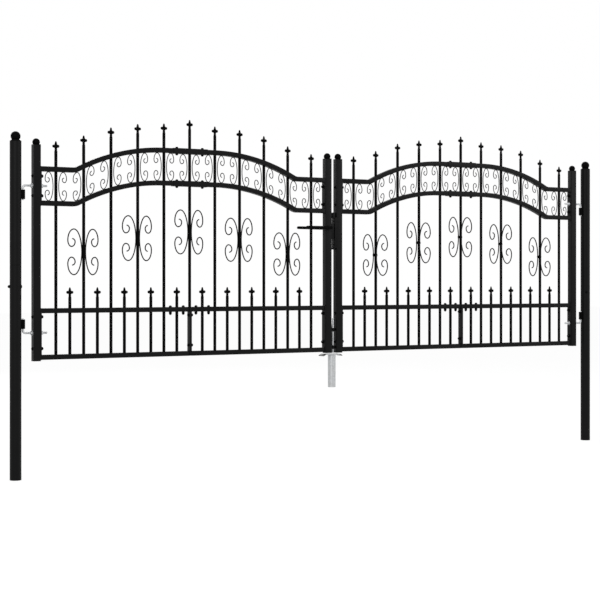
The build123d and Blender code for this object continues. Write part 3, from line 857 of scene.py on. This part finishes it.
bar_profile = circle(bar_radius + slim_film, bar_sides)
bars = []
for place, tip in zip(bar_places, long_tips):
    foot = mid_rail_top if abs(place) < bar_radius else bottom_rail_top
    bars.append(upright(place, foot - bar_sink, tip - spear_height, bar_profile, bar_edge))
for place in picket_places:
    bars.append(upright(place, bottom_rail_top - bar_sink, picket_high[2], bar_profile, bar_edge))
both_leaves("round_bars", bars, slim, ["long_bars", "pickets"])

# %% Spear heads
spike_tip = 0.0036
spike_half = 0.0084
spike_drops = (0.00005, 0.0004, 0.0012, 0.0024)
lobe_half_height = 0.0082
lobe_half_width = 0.0208
lobe_drop = 0.0275
lobe_depth = 0.0054
neck_half = 0.0072


def spear_head(sides=24):
    """Spear head with its tip at z = 0: half width and half depth of an ellipse at each drop below the tip."""
    drop = np.concatenate([spike_drops, np.linspace(0.005, lobe_drop - lobe_half_height, 6)])
    width = np.sqrt(np.minimum(drop / spike_drops[-1], 1)) * spike_tip + (spike_half - spike_tip) * drop / drop[-1]
    spike = np.stack([drop, width, width * lobe_depth / spike_half], axis=-1)
    angle = np.radians(np.linspace(8, 172, 21))
    swell = np.sin(angle) ** 0.5
    lobe_root = spike_half + (neck_half - spike_half) * (1 - np.cos(angle)) / 2
    lobe = np.stack(
        [
            lobe_drop - lobe_half_height * np.cos(angle),
            lobe_root + (lobe_half_width - lobe_root) * swell,
            0.8 * lobe_depth + 0.2 * lobe_depth * (1 - np.cos(angle)) / 2 + 0.0006 * swell,
        ],
        axis=-1,
    )
    drop = np.linspace(lobe_drop + lobe_half_height + 0.002, spear_height, 8)
    flare = ((drop - drop[0]) / (drop[-1] - drop[0])) ** 2
    width = neck_half + (bar_radius - neck_half) * flare
    neck = np.stack([drop, width, lobe_depth + (bar_radius - lobe_depth) * np.sqrt(flare)], axis=-1)
    drops, half_width, half_depth = np.vstack([spike, lobe, neck])[::-1].T[:, :, None]
    turn = even_angles(sides)
    rings = np.stack([half_width * np.cos(turn), half_depth * np.sin(turn), -drops + 0 * turn], axis=-1)
    return loft(rings)


head = spear_head()
heads = [shifted(head, (place, 0, tip)) for place, tip in zip(bar_places, long_tips)]
heads += [shifted(head, (place, 0, picket_tip)) for place in picket_places]
both_leaves("spear_heads", heads, slim, ["spears"])

# %% [markdown]
# ## Scrolls
#
# The scrolls are thin rod, bent cold into a C whose ends curl inwards. A smith bends to a few marks: the crown, the
# widest point, the bottom of the curl, its inside and its end. At each mark the rod runs level or upright, so
# between two marks it is a quarter of an ellipse. The small scrolls between the arched rails take the slope of the
# rails, so each is sheared to fit its own place. The large ones stand back to back on a bar and spread like
# wings: the depth of a rod runs from one value at its spine to another at its widest point.

# %% Scroll lines
band_scroll_radius = 0.0024
butterfly_radius = 0.0034
butterfly_marks = ((0.56, 1.00), (1.00, 0.52), (0.74, 0.235), (0.48, 0.44), (0.70, 0.58))
band_scroll_marks = ((0.56, 1.00), (1.00, 0.53), (0.74, 0.285), (0.46, 0.47), (0.70, 0.60))
scroll_steps = 9
band_scroll_offset = 0.0163
band_scroll_gap = 0.034
butterfly_bar_gap = 0.0622
butterfly_depths = {"left": (0.0, 0.010), "right": (-0.0095, -0.003)}
butterfly_height_share = 0.58
butterfly_place_shares = (0.4155, 0.4855, 0.5455)


def scroll_line(bend_marks):
    """Whole scroll in shares of its width and half height, from one curl's end to the other, curls towards +x.

    From each mark to the next the line is a quarter ellipse: sine one way and one minus cosine the other.
    """
    marks = np.array(((0.0, 0.0),) + bend_marks)
    angle = np.radians(np.linspace(0, 90, scroll_steps + 1))[1:]
    early, late = np.sin(angle), 1 - np.cos(angle)
    upright = np.arange(len(bend_marks))[:, None] % 2 == 0
    ease_x, ease_y = np.where(upright, late, early), np.where(upright, early, late)
    step = np.diff(marks, axis=0)
    x = marks[:-1, :1] + step[:, :1] * ease_x
    y = marks[:-1, 1:] + step[:, 1:] * ease_y
    half = np.stack([x.ravel(), y.ravel()], axis=-1)
    return np.vstack([half[::-1] * (1, -1), [(0.0, 0.0)], half])


def rod_along(place, height, depth, radius):
    """Round rod along a line in the leaf's plane, with rounded ends."""
    path = np.stack([place, np.full_like(place, depth), height], axis=-1)
    return carried(path, circle(radius, 10), out, 0.9 * radius)


scroll_x, scroll_y = scroll_line(butterfly_marks).T
band_x, band_y = scroll_line(band_scroll_marks).T
print("scroll line points", len(scroll_x))

# %% Small scrolls between the arched rails
band_width = bar_pitch / 2 - band_scroll_offset - band_scroll_gap / 2 - band_scroll_radius
band_scrolls = []
for bar_place in bar_places:
    cover = cover_at(bar_place)
    for direction in (-1, 1):
        place = bar_place + direction * (band_scroll_offset + band_width * band_x)
        low = lower_arch + arch_edge(place, cover) + band_scroll_radius
        high = upper_arch + arch_edge(place, -cover) - band_scroll_radius
        height = (low + high) / 2 + (high - low) / 2 * band_y
        band_scrolls.append(rod_along(place, height, 0.0, band_scroll_radius))
both_leaves("band_scroll_rods", band_scrolls, slim, ["band_scrolls"])

# %% Large scrolls on the bars
butterfly_spine = bar_radius + butterfly_radius
butterfly_width = bar_pitch - bar_radius - butterfly_bar_gap - butterfly_spine - butterfly_radius
butterfly_clear = lower_arch - arch_half - picket_tip
butterfly_half = butterfly_height_share * butterfly_clear / 2 - butterfly_radius
butterfly_centres = []
for index in range(1, bar_count, 2):
    share = butterfly_place_shares[rise_index[index] // 2]
    height = picket_tip + share * (butterfly_clear + arch_edge(bar_places[index], 0))
    butterfly_centres.append((bar_places[index], height))
for side, (spine_depth, tip_depth) in butterfly_depths.items():
    depth = spine_depth + (tip_depth - spine_depth) * scroll_x
    butterflies = []
    for place, height in butterfly_centres:
        for direction in (-1, 1):
            spread = place + direction * (butterfly_spine + butterfly_width * scroll_x)
            rod = rod_along(spread, height + butterfly_half * scroll_y, depth, butterfly_radius)
            butterflies.append(on_leaf(side, rod))
    slim(f"{side}_butterfly_scroll_rods", butterflies, f"{side}_leaf", [f"{side}_butterfly_scrolls"])

# %% [markdown]
# ## Flanges
#
# Flat bars close the ends of the rails and are bolted to the stiles, and two more stand back to back under the
# middle of the mid rail, where the halves of a panel meet. Each is a rounded rectangle carried upwards. The middle
# pair keeps a hairline between the plates, which the rounded edges turn into a fine groove. Paint and weld make all
# of them look a little thicker than the bare plate.

# %% End and centre flanges
flange_film = 0.0015
end_edge = 0.0012
plate_round = 0.0009
plate_hairline = 0.0001
flange_face = rail_end - flange_film
end_thickness = (end_high[0] - end_low[0]) / 2 - flange_face
centre_half = flange_half + flange_film
centre_depth = flange_high[1] - flange_low[1]
flange_spans = [(end_low[2], mid_rail_top), (lower_arch - arch_half, end_high[2])]

end_profile = rounded_rectangle(end_thickness, end_depth, end_edge)
end_flanges = []
for low, high in flange_spans:
    for direction in (-1, 1):
        place = direction * (flange_face + end_thickness / 2)
        end_flanges.append(upright(place, low, high, end_profile, end_edge))
both_leaves("end_flange_bars", end_flanges, black, ["end_flanges"])

plate_profile = rounded_rectangle(centre_half - plate_hairline, centre_depth, plate_round)
centre_flanges = [
    upright(place, flange_low[2], flange_high[2], plate_profile, plate_round)
    for place in (-centre_half / 2, centre_half / 2)
]
both_leaves("centre_flange_bars", centre_flanges, black, ["centre_flanges"])

# %% [markdown]
# ## Hinges
#
# Each leaf hangs on two bent bolts. A bolt runs through the stile and the flange, where nuts hold it from both sides,
# and its bent end, the upper one down and the lower one up, goes through a socket that is welded to the post. The rod
# is a circle carried round the bend, its straight end is threaded, and the sockets are short tubes with weld beads
# down both sides.


# %% Weld beads
def weld_line(start, stop, radius, side, ripple=0.0045):
    """Straight weld bead: a round rod whose radius waves along its length and closes at both ends."""
    start, stop = np.asarray(start, float), np.asarray(stop, float)
    length = np.linalg.norm(stop - start)
    share = np.linspace(0.0, 1.0, int(6 * length / ripple) + 2)[:, None]
    wave = 1 + 0.10 * np.sin(2 * np.pi * share * length / ripple)
    close = np.sqrt(np.clip(1 - np.abs(2 * share - 1) ** 12, 0.02, 1))
    path = start + share * (stop - start)
    rings = carried_rings(path, circle(radius, 10), side)
    return loft(path[:, None] + (rings - path[:, None]) * (wave * close)[:, None])


def weld_round(loop, radius, axis, ripples=9):
    """Weld bead round a closed loop that runs counterclockwise about an axis: a small circle at each point,
    spanned by the axis and the direction away from the middle, with a radius that waves along the loop."""
    loop, axis = np.asarray(loop, float), np.asarray(axis, float)
    away = loop - loop.mean(axis=0)
    away -= (away @ axis)[:, None] * axis
    away /= np.linalg.norm(away, axis=1, keepdims=True)
    turn, step = even_angles(6), even_angles(len(loop))
    bead = radius * (1 + 0.12 * np.sin(ripples * step))[:, None, None]
    section = np.cos(turn)[None, :, None] * axis + np.sin(turn)[None, :, None] * away[:, None]
    return loft(loop[:, None] + bead * section, shut=True)


# %% Hinge sockets on the posts
socket_low, socket_high = corners("hinge_sockets")
socket_radius = (socket_high[1] - socket_low[1]) / 2
socket_bore = 0.0063
socket_height = 0.051
socket_edge = 0.0009
socket_weld = 0.0042
socket_weld_inset = 0.003
socket_feet = (socket_low[2], socket_high[2] - socket_height)
hinge_axis = socket_low[0] + socket_radius - post_places["left"][0]

weld_post_side = post_radius + 0.7 * socket_weld
weld_socket_side = socket_radius + 0.7 * socket_weld
weld_x = (hinge_axis**2 + weld_post_side**2 - weld_socket_side**2) / (2 * hinge_axis)
weld_y = np.sqrt(weld_post_side**2 - weld_x**2)
socket_skin = socket_radius + slim_film
sockets, socket_beads = [], []
for side, place in post_places.items():
    for foot in socket_feet:
        profile = tube_profile(socket_skin, socket_skin - socket_bore, foot, foot + socket_height, socket_edge)
        inward = leaf_sign[side]
        sockets.append(shifted(turned(profile, 40, shut=True), place + (inward * hinge_axis, 0, 0)))
        for direction in (-1, 1):
            bead = place + (inward * weld_x, direction * weld_y, 0)
            levels = foot + socket_weld_inset, foot + socket_height - socket_weld_inset
            socket_beads.append(weld_line(*(bead + (0, 0, level) for level in levels), socket_weld, out))
slim("hinge_socket_tubes", sockets, "posts", ["hinge_sockets"])
slim("hinge_socket_welds", socket_beads, "posts")

# %% Hinge bolts
hinge_rod_radius = 0.006
hinge_bend = 0.014
pin_overrun = 0.006
pin_edge = 0.0012
thread_pitch = 0.00175
thread_depth = 0.0009
thread_reach = 0.036
hinge_low, hinge_high = corners("left_hinge_bolts")
pin_place = hinge_low[0] + hinge_rod_radius - leaf_centre["left"]
bolt_end = hinge_high[0] - leaf_centre["left"]
thread_start = -gap_face - thread_reach
lower_hinge = hinge_low[2] + hinge_rod_radius
upper_hinge = hinge_high[2] - hinge_rod_radius


def bent_bolt(height, pin_end):
    """Hinge bolt: from the thread's start along u, round a quarter circle, and up or down to the pin's end."""
    way = np.sign(pin_end - height)
    bend = arc_points((pin_place + hinge_bend, 0.0), hinge_bend, 270, 180, 12)
    bend = np.stack([bend[:, 0], height + way * (bend[:, 1] + hinge_bend)], axis=-1)
    line = np.vstack([[(thread_start, height)], bend, [(pin_place, pin_end)]])
    path = np.stack([line[:, 0], 0 * line[:, 0], line[:, 1]], axis=-1)
    rod = carried(path, circle(hinge_rod_radius, 24), out, pin_edge)
    screw = thread(hinge_rod_radius, bolt_end - thread_start, thread_pitch, thread_depth, 24)
    return [rod, aimed(screw, (thread_start, 0, height), along)]


hinge_bolts = bent_bolt(lower_hinge, socket_feet[0] + socket_height + pin_overrun)
hinge_bolts += bent_bolt(upper_hinge, socket_feet[1] - pin_overrun)
both_leaves("bent_hinge_bolts", hinge_bolts, plated, ["hinge_bolts"])

# %% Hinge nuts
hinge_nut_flats = 0.019
hinge_nut_height = 0.010
hinge_nut_seat = 0.0021
hinge_washer = (0.0122, 0.0022)
hinge_nuts = []
for height in (lower_hinge, upper_hinge):
    for place, way in ((-gap_face, -1), (-flange_face, 1)):
        seat = np.array((place, 0, height))
        axis = np.array((way, 0, 0), float)
        hinge_nuts.append(aimed(washer(*hinge_washer), seat, axis))
        hinge_nuts.append(aimed(hex_nut(hinge_nut_flats, hinge_nut_height), seat + hinge_nut_seat * axis, axis))
both_leaves("hinge_nuts", hinge_nuts, plated, [])

# %% [markdown]
# ## Bolts of a leaf
#
# Domed bolts go through the sleeves and the mid rail from above, through the stiles and their flanges, and through
# the middle pair of flanges. Each row is a list of places, with a domed head on one side and a cap nut or a second
# dome on the other.

# %% Leaf bolts
sleeve_bolt_places = (-bar_pitch / 2, bar_pitch / 2)
mid_bolt_places = bar_pitch / 4 * np.array((-3, -1, 1, 3))
stile_bolt_heights = (0.706, 0.879, 1.538, 1.6455)
centre_bolt_heights = (0.706, 0.879)
mid_rail_foot = mid_rail_low[2]
short_nut = (0.0095, 0.0150)
mid_head = (0.009, 0.0096)
stile_head = (0.009, 0.0065)
under_head_height = 0.0085

leaf_bolts = []
for place in sleeve_bolt_places:
    for height in arch_tops:
        leaf_bolts += domed_bolt((place, 0, height + sleeve_size / 2), up)
        leaf_bolts += domed_bolt((place, 0, height - sleeve_size / 2), -up, height=under_head_height)
for place in mid_bolt_places:
    leaf_bolts += domed_bolt((place, 0, mid_rail_top), up, *mid_head)
    leaf_bolts += cap_nut((place, 0, mid_rail_foot), -up)
for height in stile_bolt_heights:
    for direction in (-1, 1):
        leaf_bolts += domed_bolt((direction * gap_face, 0, height), direction * along, *stile_head)
        leaf_bolts += cap_nut((direction * flange_face, 0, height), -direction * along, *short_nut)
for height in centre_bolt_heights:
    leaf_bolts += cap_nut((centre_half, 0, height), along, *short_nut)
    leaf_bolts += domed_bolt((-centre_half, 0, height), -along)
both_leaves("leaf_bolts", leaf_bolts, bolted, [])

# %% [markdown]
# ## Welds of a leaf
#
# Bars are welded where they meet the rails, rails where they meet the flanges, and scrolls where they touch. A bead
# is a small circle carried round a loop, with a slight ripple. On the arched rails the loop follows the slope,
# because its height is read from the arch formula at every point.

# %% Bar and rail welds
bar_weld = 0.0014
rail_weld = 0.0032
rail_weld_corner = 0.003


def bar_loop(place, base, offset=None):
    """Circle round a bar where it meets a level face at height base, or an arch's edge with that offset."""
    ring = circle(bar_radius, 16)
    u = place + ring[:, 0]
    rise = 0 * u if offset is None else arch_edge(u, offset)
    return np.stack([u, ring[:, 1], base + rise], axis=-1)


def rail_loop(place, height, size):
    """Outline of a square rail at its end, counterclockwise about the u axis."""
    ring = rounded_rectangle(size, size, rail_weld_corner, 3)
    return np.stack([np.full(len(ring), place), ring[:, 0], height + ring[:, 1]], axis=-1)


loops = []
for place in bar_places:
    cover = cover_at(place)
    loops += [bar_loop(place, base, way * cover) for base in (lower_arch, upper_arch) for way in (-1, 1)]
for place in np.concatenate([bar_places, picket_places]):
    loops.append(bar_loop(place, mid_rail_top))
    if abs(place) > bar_radius:
        loops += [bar_loop(place, mid_rail_foot), bar_loop(place, bottom_rail_top)]
bar_beads = [weld_round(loop, bar_weld, up) for loop in loops]
both_leaves("bar_welds", bar_beads, slim, [])

rail_beads = []
for end in (-rail_end, rail_end):
    for height in (bottom_rail_top - rail_size / 2, mid_rail_top - rail_size / 2):
        rail_beads.append(weld_round(rail_loop(end, height, rail_size), rail_weld, along, 23))
    for height in (lower_arch, upper_arch):
        rail_beads.append(weld_round(rail_loop(end, height, arch_size), rail_weld, along, 27))
both_leaves("rail_end_welds", rail_beads, black, [])


# %% Scroll welds
def weld_spot(place, height, base, half_length, half_depth, half_height, offset=None):
    """Flat ellipsoid of weld: points on a sphere scaled three ways, sheared to the slope of an arch's edge."""
    points, quads, triangles = turned(arc_points((0, 0), 1.0, -80, 80, 6), 14)
    points = points * (half_length, half_depth, half_height)
    u = place + points[:, 0]
    rise = 0 * u + height if offset is None else base + arch_edge(u, offset)
    return np.stack([u, points[:, 1], points[:, 2] + rise], axis=-1), quads, triangles


crown_share = band_scroll_marks[0][0]
crown_weld = (0.009, 0.0045, 0.0026)
scroll_spots = []
for bar_place in bar_places:
    cover = cover_at(bar_place)
    for direction in (-1, 1):
        crown = bar_place + direction * (band_scroll_offset + band_width * crown_share)
        for base, way in ((lower_arch, 1), (upper_arch, -1)):
            scroll_spots.append(weld_spot(crown, 0, base, *crown_weld, way * cover))
both_leaves("scroll_welds", scroll_spots, slim, [])

butterfly_weld_sizes = {"left": (0.001, 0.0038, 0.015), "right": (0.0030, 0.0074, 0.0108)}
butterfly_weld_depth = 0.0052
butterfly_weld_share = 0.8
for side, (offset, half_length, half_height) in butterfly_weld_sizes.items():
    spots = []
    for place, height in butterfly_centres:
        for direction in (-1, 1):
            seat = place + direction * (bar_radius + offset)
            spot = weld_spot(seat, height, 0, half_length, butterfly_weld_depth, half_height)
            back = butterfly_weld_share * butterfly_depths[side][0]
            spots.append(on_leaf(side, shifted(spot, (0, back, 0))))
    slim(f"{side}_butterfly_welds", spots, f"{side}_leaf")

# %% [markdown]
# ## Lock and lever
#
# A narrow lock case sits in the gap on the left meeting stile and shows the nose of its latch, and a keeper stands
# across the gap on the right one. A lever on each side of the left stile turns one spindle. The lever is a bar that
# tapers to its tip: its top edge stays level and its underside rises, so each ring of the bar has its own height.

# %% Lock case and keeper
lock_low, lock_high = corners("lock_case")
case_edge = 0.0018
latch_start = (0.004, 0.006, 0.008)
latch_size = (0.0075, 0.012, 0.018)
latch_edge = 0.0012
screw_head = (0.0046, 0.0022)
lock_screw_inset = 0.010
lock_shapes = [block(lock_low, lock_high, case_edge)]
lock_middle = (lock_low + lock_high) / 2
latch_low = np.array((lock_high[0] - latch_start[0], -latch_start[1], lock_middle[2] + latch_start[2]))
lock_shapes.append(block(latch_low, latch_low + latch_size, latch_edge))
lock_bolts = []
for height in (lock_low[2] + lock_screw_inset, lock_high[2] - lock_screw_inset):
    lock_bolts.append(aimed(dome_head(*screw_head), (lock_high[0], 0, height), along))
black("lock_case_box", lock_shapes, "left_leaf", ["lock_case"])
bolted("lock_case_screws", lock_bolts, "left_leaf")

keeper_low, keeper_high = corners("keeper")
keeper_thickness = 0.0125
keeper_lugs = {"top": 0.032, "foot": 0.010}
keeper_screw_insets = {"top": 0.020, "foot": 0.030}
plate_low = np.array((keeper_high[0] - keeper_thickness, keeper_low[1], keeper_low[2]))
top_low = np.array((keeper_low[0], keeper_low[1], keeper_high[2] - keeper_lugs["top"]))
foot_high = np.array((keeper_high[0], keeper_high[1], keeper_low[2] + keeper_lugs["foot"]))
keeper_shapes = [
    block(plate_low, keeper_high, case_edge),
    block(top_low, keeper_high, case_edge),
    block(keeper_low, foot_high, case_edge),
]
black("keeper_bracket", keeper_shapes, "right_leaf", ["keeper"])
keeper_screws = []
keeper_screw_foot = keeper_low[2] + keeper_screw_insets["foot"]
keeper_screw_top = keeper_high[2] - keeper_lugs["top"] - keeper_screw_insets["top"]
for height in (keeper_screw_foot, keeper_screw_top):
    keeper_screws.append(aimed(dome_head(*screw_head), (plate_low[0], 0, height), -along))
bolted("keeper_screws", keeper_screws, "right_leaf")

# %% Lever handles
lever_low, lever_high = corners("lever_handles")
lever_root_height = lever_high[2] - lever_low[2]
lever_tip_height = 0.0145
lever_depth = 0.012
lever_root = lever_high[0] - lever_root_height / 2
spindle_low, spindle_high = corners("lever_spindle")
spindle_height = (spindle_low[2] + spindle_high[2]) / 2


def lever_grip(depth_place):
    """Tapered bar from the spindle to its tip: a rounded rectangle whose height falls while its top stays level."""
    share = np.concatenate([[0, 0.012, 0.03], np.linspace(0.06, 0.94, 12), [0.975, 0.99, 1.0]])
    bulge = np.sqrt(np.clip(1 - np.abs(2 * share - 1) ** 26, 0.12, 1))
    height = (lever_root_height + (lever_tip_height - lever_root_height) * share + 2 * slim_film) * bulge
    depth = lever_depth * (1 - 0.12 * share) * bulge
    unit = rounded_rectangle(1.0, 1.0, 0.34, 5)
    u = lever_high[0] + share * (lever_low[0] - lever_high[0])
    drop = (lever_root_height + (lever_tip_height - lever_root_height) * share) / 2
    rings = np.stack(
        [
            u[:, None] + 0 * unit[:, 0],
            depth_place + depth[:, None] * unit[::-1, 0],
            (lever_high[2] - drop)[:, None] + height[:, None] * unit[::-1, 1],
        ],
        axis=-1,
    )
    return loft(rings)


grip_places = (lever_low[1] + lever_depth / 2, lever_high[1] - lever_depth / 2)
slim("lever_grips", [lever_grip(place) for place in grip_places], "lever", ["lever_handles"])

spindle_reach = lever_high[1] - lever_depth
spindle_radius = (spindle_high[2] - spindle_low[2]) / 2
neck_flare = [(0.0088, spindle_reach + 0.002), (0.0082, spindle_reach - 0.004), (0.0066, spindle_reach - 0.010)]
spindle_half = neck_flare + [(spindle_radius - 0.0002, spindle_reach - 0.014)]
spindle_profile = [(radius, -height) for radius, height in spindle_half]
spindle_profile += [(radius, height) for radius, height in reversed(spindle_half)]
spindle = aimed(turned(spindle_profile, 32), (lever_root, 0, spindle_height), out)
black("lever_necks", [spindle], "lever", ["lever_spindle"])

# %% Lever roses
rose_radius = 0.0145
rose_thickness = 0.0055
rose_bore = 0.0068
rose_profile = [
    (rose_bore, 0.0),
    (rose_radius, 0.0),
    (rose_radius, 0.6 * rose_thickness),
    (rose_radius - 0.001, 0.85 * rose_thickness),
    (rose_radius - 0.003, rose_thickness),
    (rose_bore, rose_thickness),
]
rose = turned(rose_profile, 40, shut=True)
roses = []
for way in (-1, 1):
    roses.append(aimed(rose, (lever_root, way * stile_size / 2, spindle_height), way * out))
black("lever_roses", roses, "left_leaf")

# %% [markdown]
# ## Drop bolt and ground socket
#
# A galvanised rod on the right meeting stile drops into a socket that stands in the ground. Two rings guide the rod,
# and a flat plate on the other stile stops the left leaf. The socket's plate is one grid: its inner ring is the round
# hole, its outer ring is the plate's outline, rings between blend one into the other, and its wings bend down.

# %% Drop bolt, guides and stop plate
rod_low, rod_high = corners("drop_bolt")
rod_middle = (rod_low + rod_high) / 2
rod_radius = (rod_high[0] - rod_low[0]) / 2
rod_edge = 0.0025
drop_rod = upright(rod_middle[0], rod_low[2], rod_high[2], circle(rod_radius, 28), rod_edge)
plated("drop_bolt_rod", [drop_rod], "drop_bolt", ["drop_bolt"])

guide_low, guide_high = corners("drop_bolt_guides")
guide_radius = (guide_high[1] - guide_low[1]) / 2
guide_height = 0.022
guide_bore = rod_radius + 0.0003
guide_edge = 0.0012
guide_neck = (0.0008, 0.005, 0.004)
guides = []
for foot in (guide_low[2], guide_high[2] - guide_height):
    profile = tube_profile(guide_radius, guide_radius - guide_bore, foot, foot + guide_height, guide_edge)
    guides.append(shifted(turned(profile, 40, shut=True), (rod_middle[0], 0, 0)))
    neck_low = (rod_middle[0] + guide_bore + guide_neck[0], -guide_neck[1], foot + guide_neck[2])
    neck_high = (guide_high[0], guide_neck[1], foot + guide_height - guide_neck[2])
    guides.append(block(neck_low, neck_high, guide_edge))
black("drop_bolt_rings", guides, "right_leaf", ["drop_bolt_guides"])

stop_low, stop_high = corners("stop_plate")
stop_taper = 0.060
stop_top_width = 0.014
stop_corner = 0.0012
stop_level = np.array((0.0, 0.001, 1 - stop_taper / (stop_high[2] - stop_low[2]), 0.99, 1.0))
stop_width = np.array((0.97, 1.0, 1.0, stop_top_width / (stop_high[1] - stop_low[1]), 0.4))
stop_outline = rounded_rectangle(stop_high[0] - stop_low[0], stop_high[1] - stop_low[1], stop_corner)
stop_rings = np.stack(
    [
        (stop_low[0] + stop_high[0]) / 2 + stop_outline[None, :, 0] + 0 * stop_level[:, None],
        stop_width[:, None] * stop_outline[None, :, 1],
        (stop_low[2] + stop_level * (stop_high[2] - stop_low[2]))[:, None] + 0 * stop_outline[None, :, 0],
    ],
    axis=-1,
)
black("stop_plate_bar", [loft(stop_rings)], "left_leaf", ["stop_plate"])

# %% Ground socket
ground_low, ground_high = corners("ground_socket_plate")
ground_size = ground_high - ground_low
ground_middle = (ground_low + ground_high) / 2
plate_flat_half = 0.050
hole_offset = np.array((rod_middle[0] - ground_middle[0], 0.0))
plate_thick = 0.005
plate_hole = rod_radius + 0.002
plate_fall = 0.008


def bent_plate(steps=22):
    """Plate with a hole: rings blend from its outline to the hole, and its height falls beyond the flat middle."""
    spacing = 0.003
    across = np.arange(-ground_size[0] / 2, ground_size[0] / 2 - spacing / 2, spacing)
    deep = np.arange(-ground_size[1] / 2, ground_size[1] / 2 - spacing / 2, spacing)
    front = np.stack([across, np.full_like(across, deep[0])], axis=-1)
    right = np.stack([np.full_like(deep, -across[0]), deep], axis=-1)
    outline = np.vstack([front, right, -front, -right])
    spoke = outline - hole_offset
    hole = hole_offset + plate_hole * spoke / np.linalg.norm(spoke, axis=1, keepdims=True)
    share = np.linspace(0, 1, steps)[:, None, None] ** 0.8
    top = outline * (1 - share) + hole * share
    wing = ground_size[0] / 2 - plate_flat_half
    fall = plate_fall * np.clip((np.abs(top[..., 0]) - plate_flat_half) / wing, 0, 1)
    upper = np.concatenate([top, (ground_high[2] - fall)[..., None]], axis=-1)
    rings = np.concatenate([upper, upper[::-1] - (0, 0, plate_thick)])
    return loft(rings + (ground_middle[0], 0, 0), shut=True)


# The ground socket's wings are darkened with painted shade.
zinc_with_wing_shade = zinc_finish("zinc_with_wing_shade", 130.0, spangle_dark, spangle_light, (ground_middle[0], plate_flat_half))
zinc("ground_socket_cover", [bent_plate()], zinc_with_wing_shade, "posts", ["ground_socket_plate"])

pipe_wall = 0.0035
pipe_edge = 0.0008
pipe_weld = 0.0026
pipe_low, pipe_high = corners("ground_socket_tube")
pipe_radius = (pipe_high[0] - pipe_low[0]) / 2
pipe_middle = (pipe_high[0] + pipe_low[0]) / 2
pipe_profile = tube_profile(pipe_radius, pipe_wall, pipe_low[2], pipe_high[2], pipe_edge)
pipe = shifted(turned(pipe_profile, 56, shut=True), (pipe_middle, 0, 0))
zinc("ground_socket_pipe", [pipe], galvanised, "posts", ["ground_socket_tube"])
pipe_ring = circle(pipe_radius, 40)
pipe_loop = np.stack([pipe_middle + pipe_ring[:, 0], pipe_ring[:, 1], np.full(40, pipe_high[2])], axis=-1)
zinc("ground_socket_weld", [weld_round(pipe_loop, pipe_weld, up, 21)], galvanised, "posts")
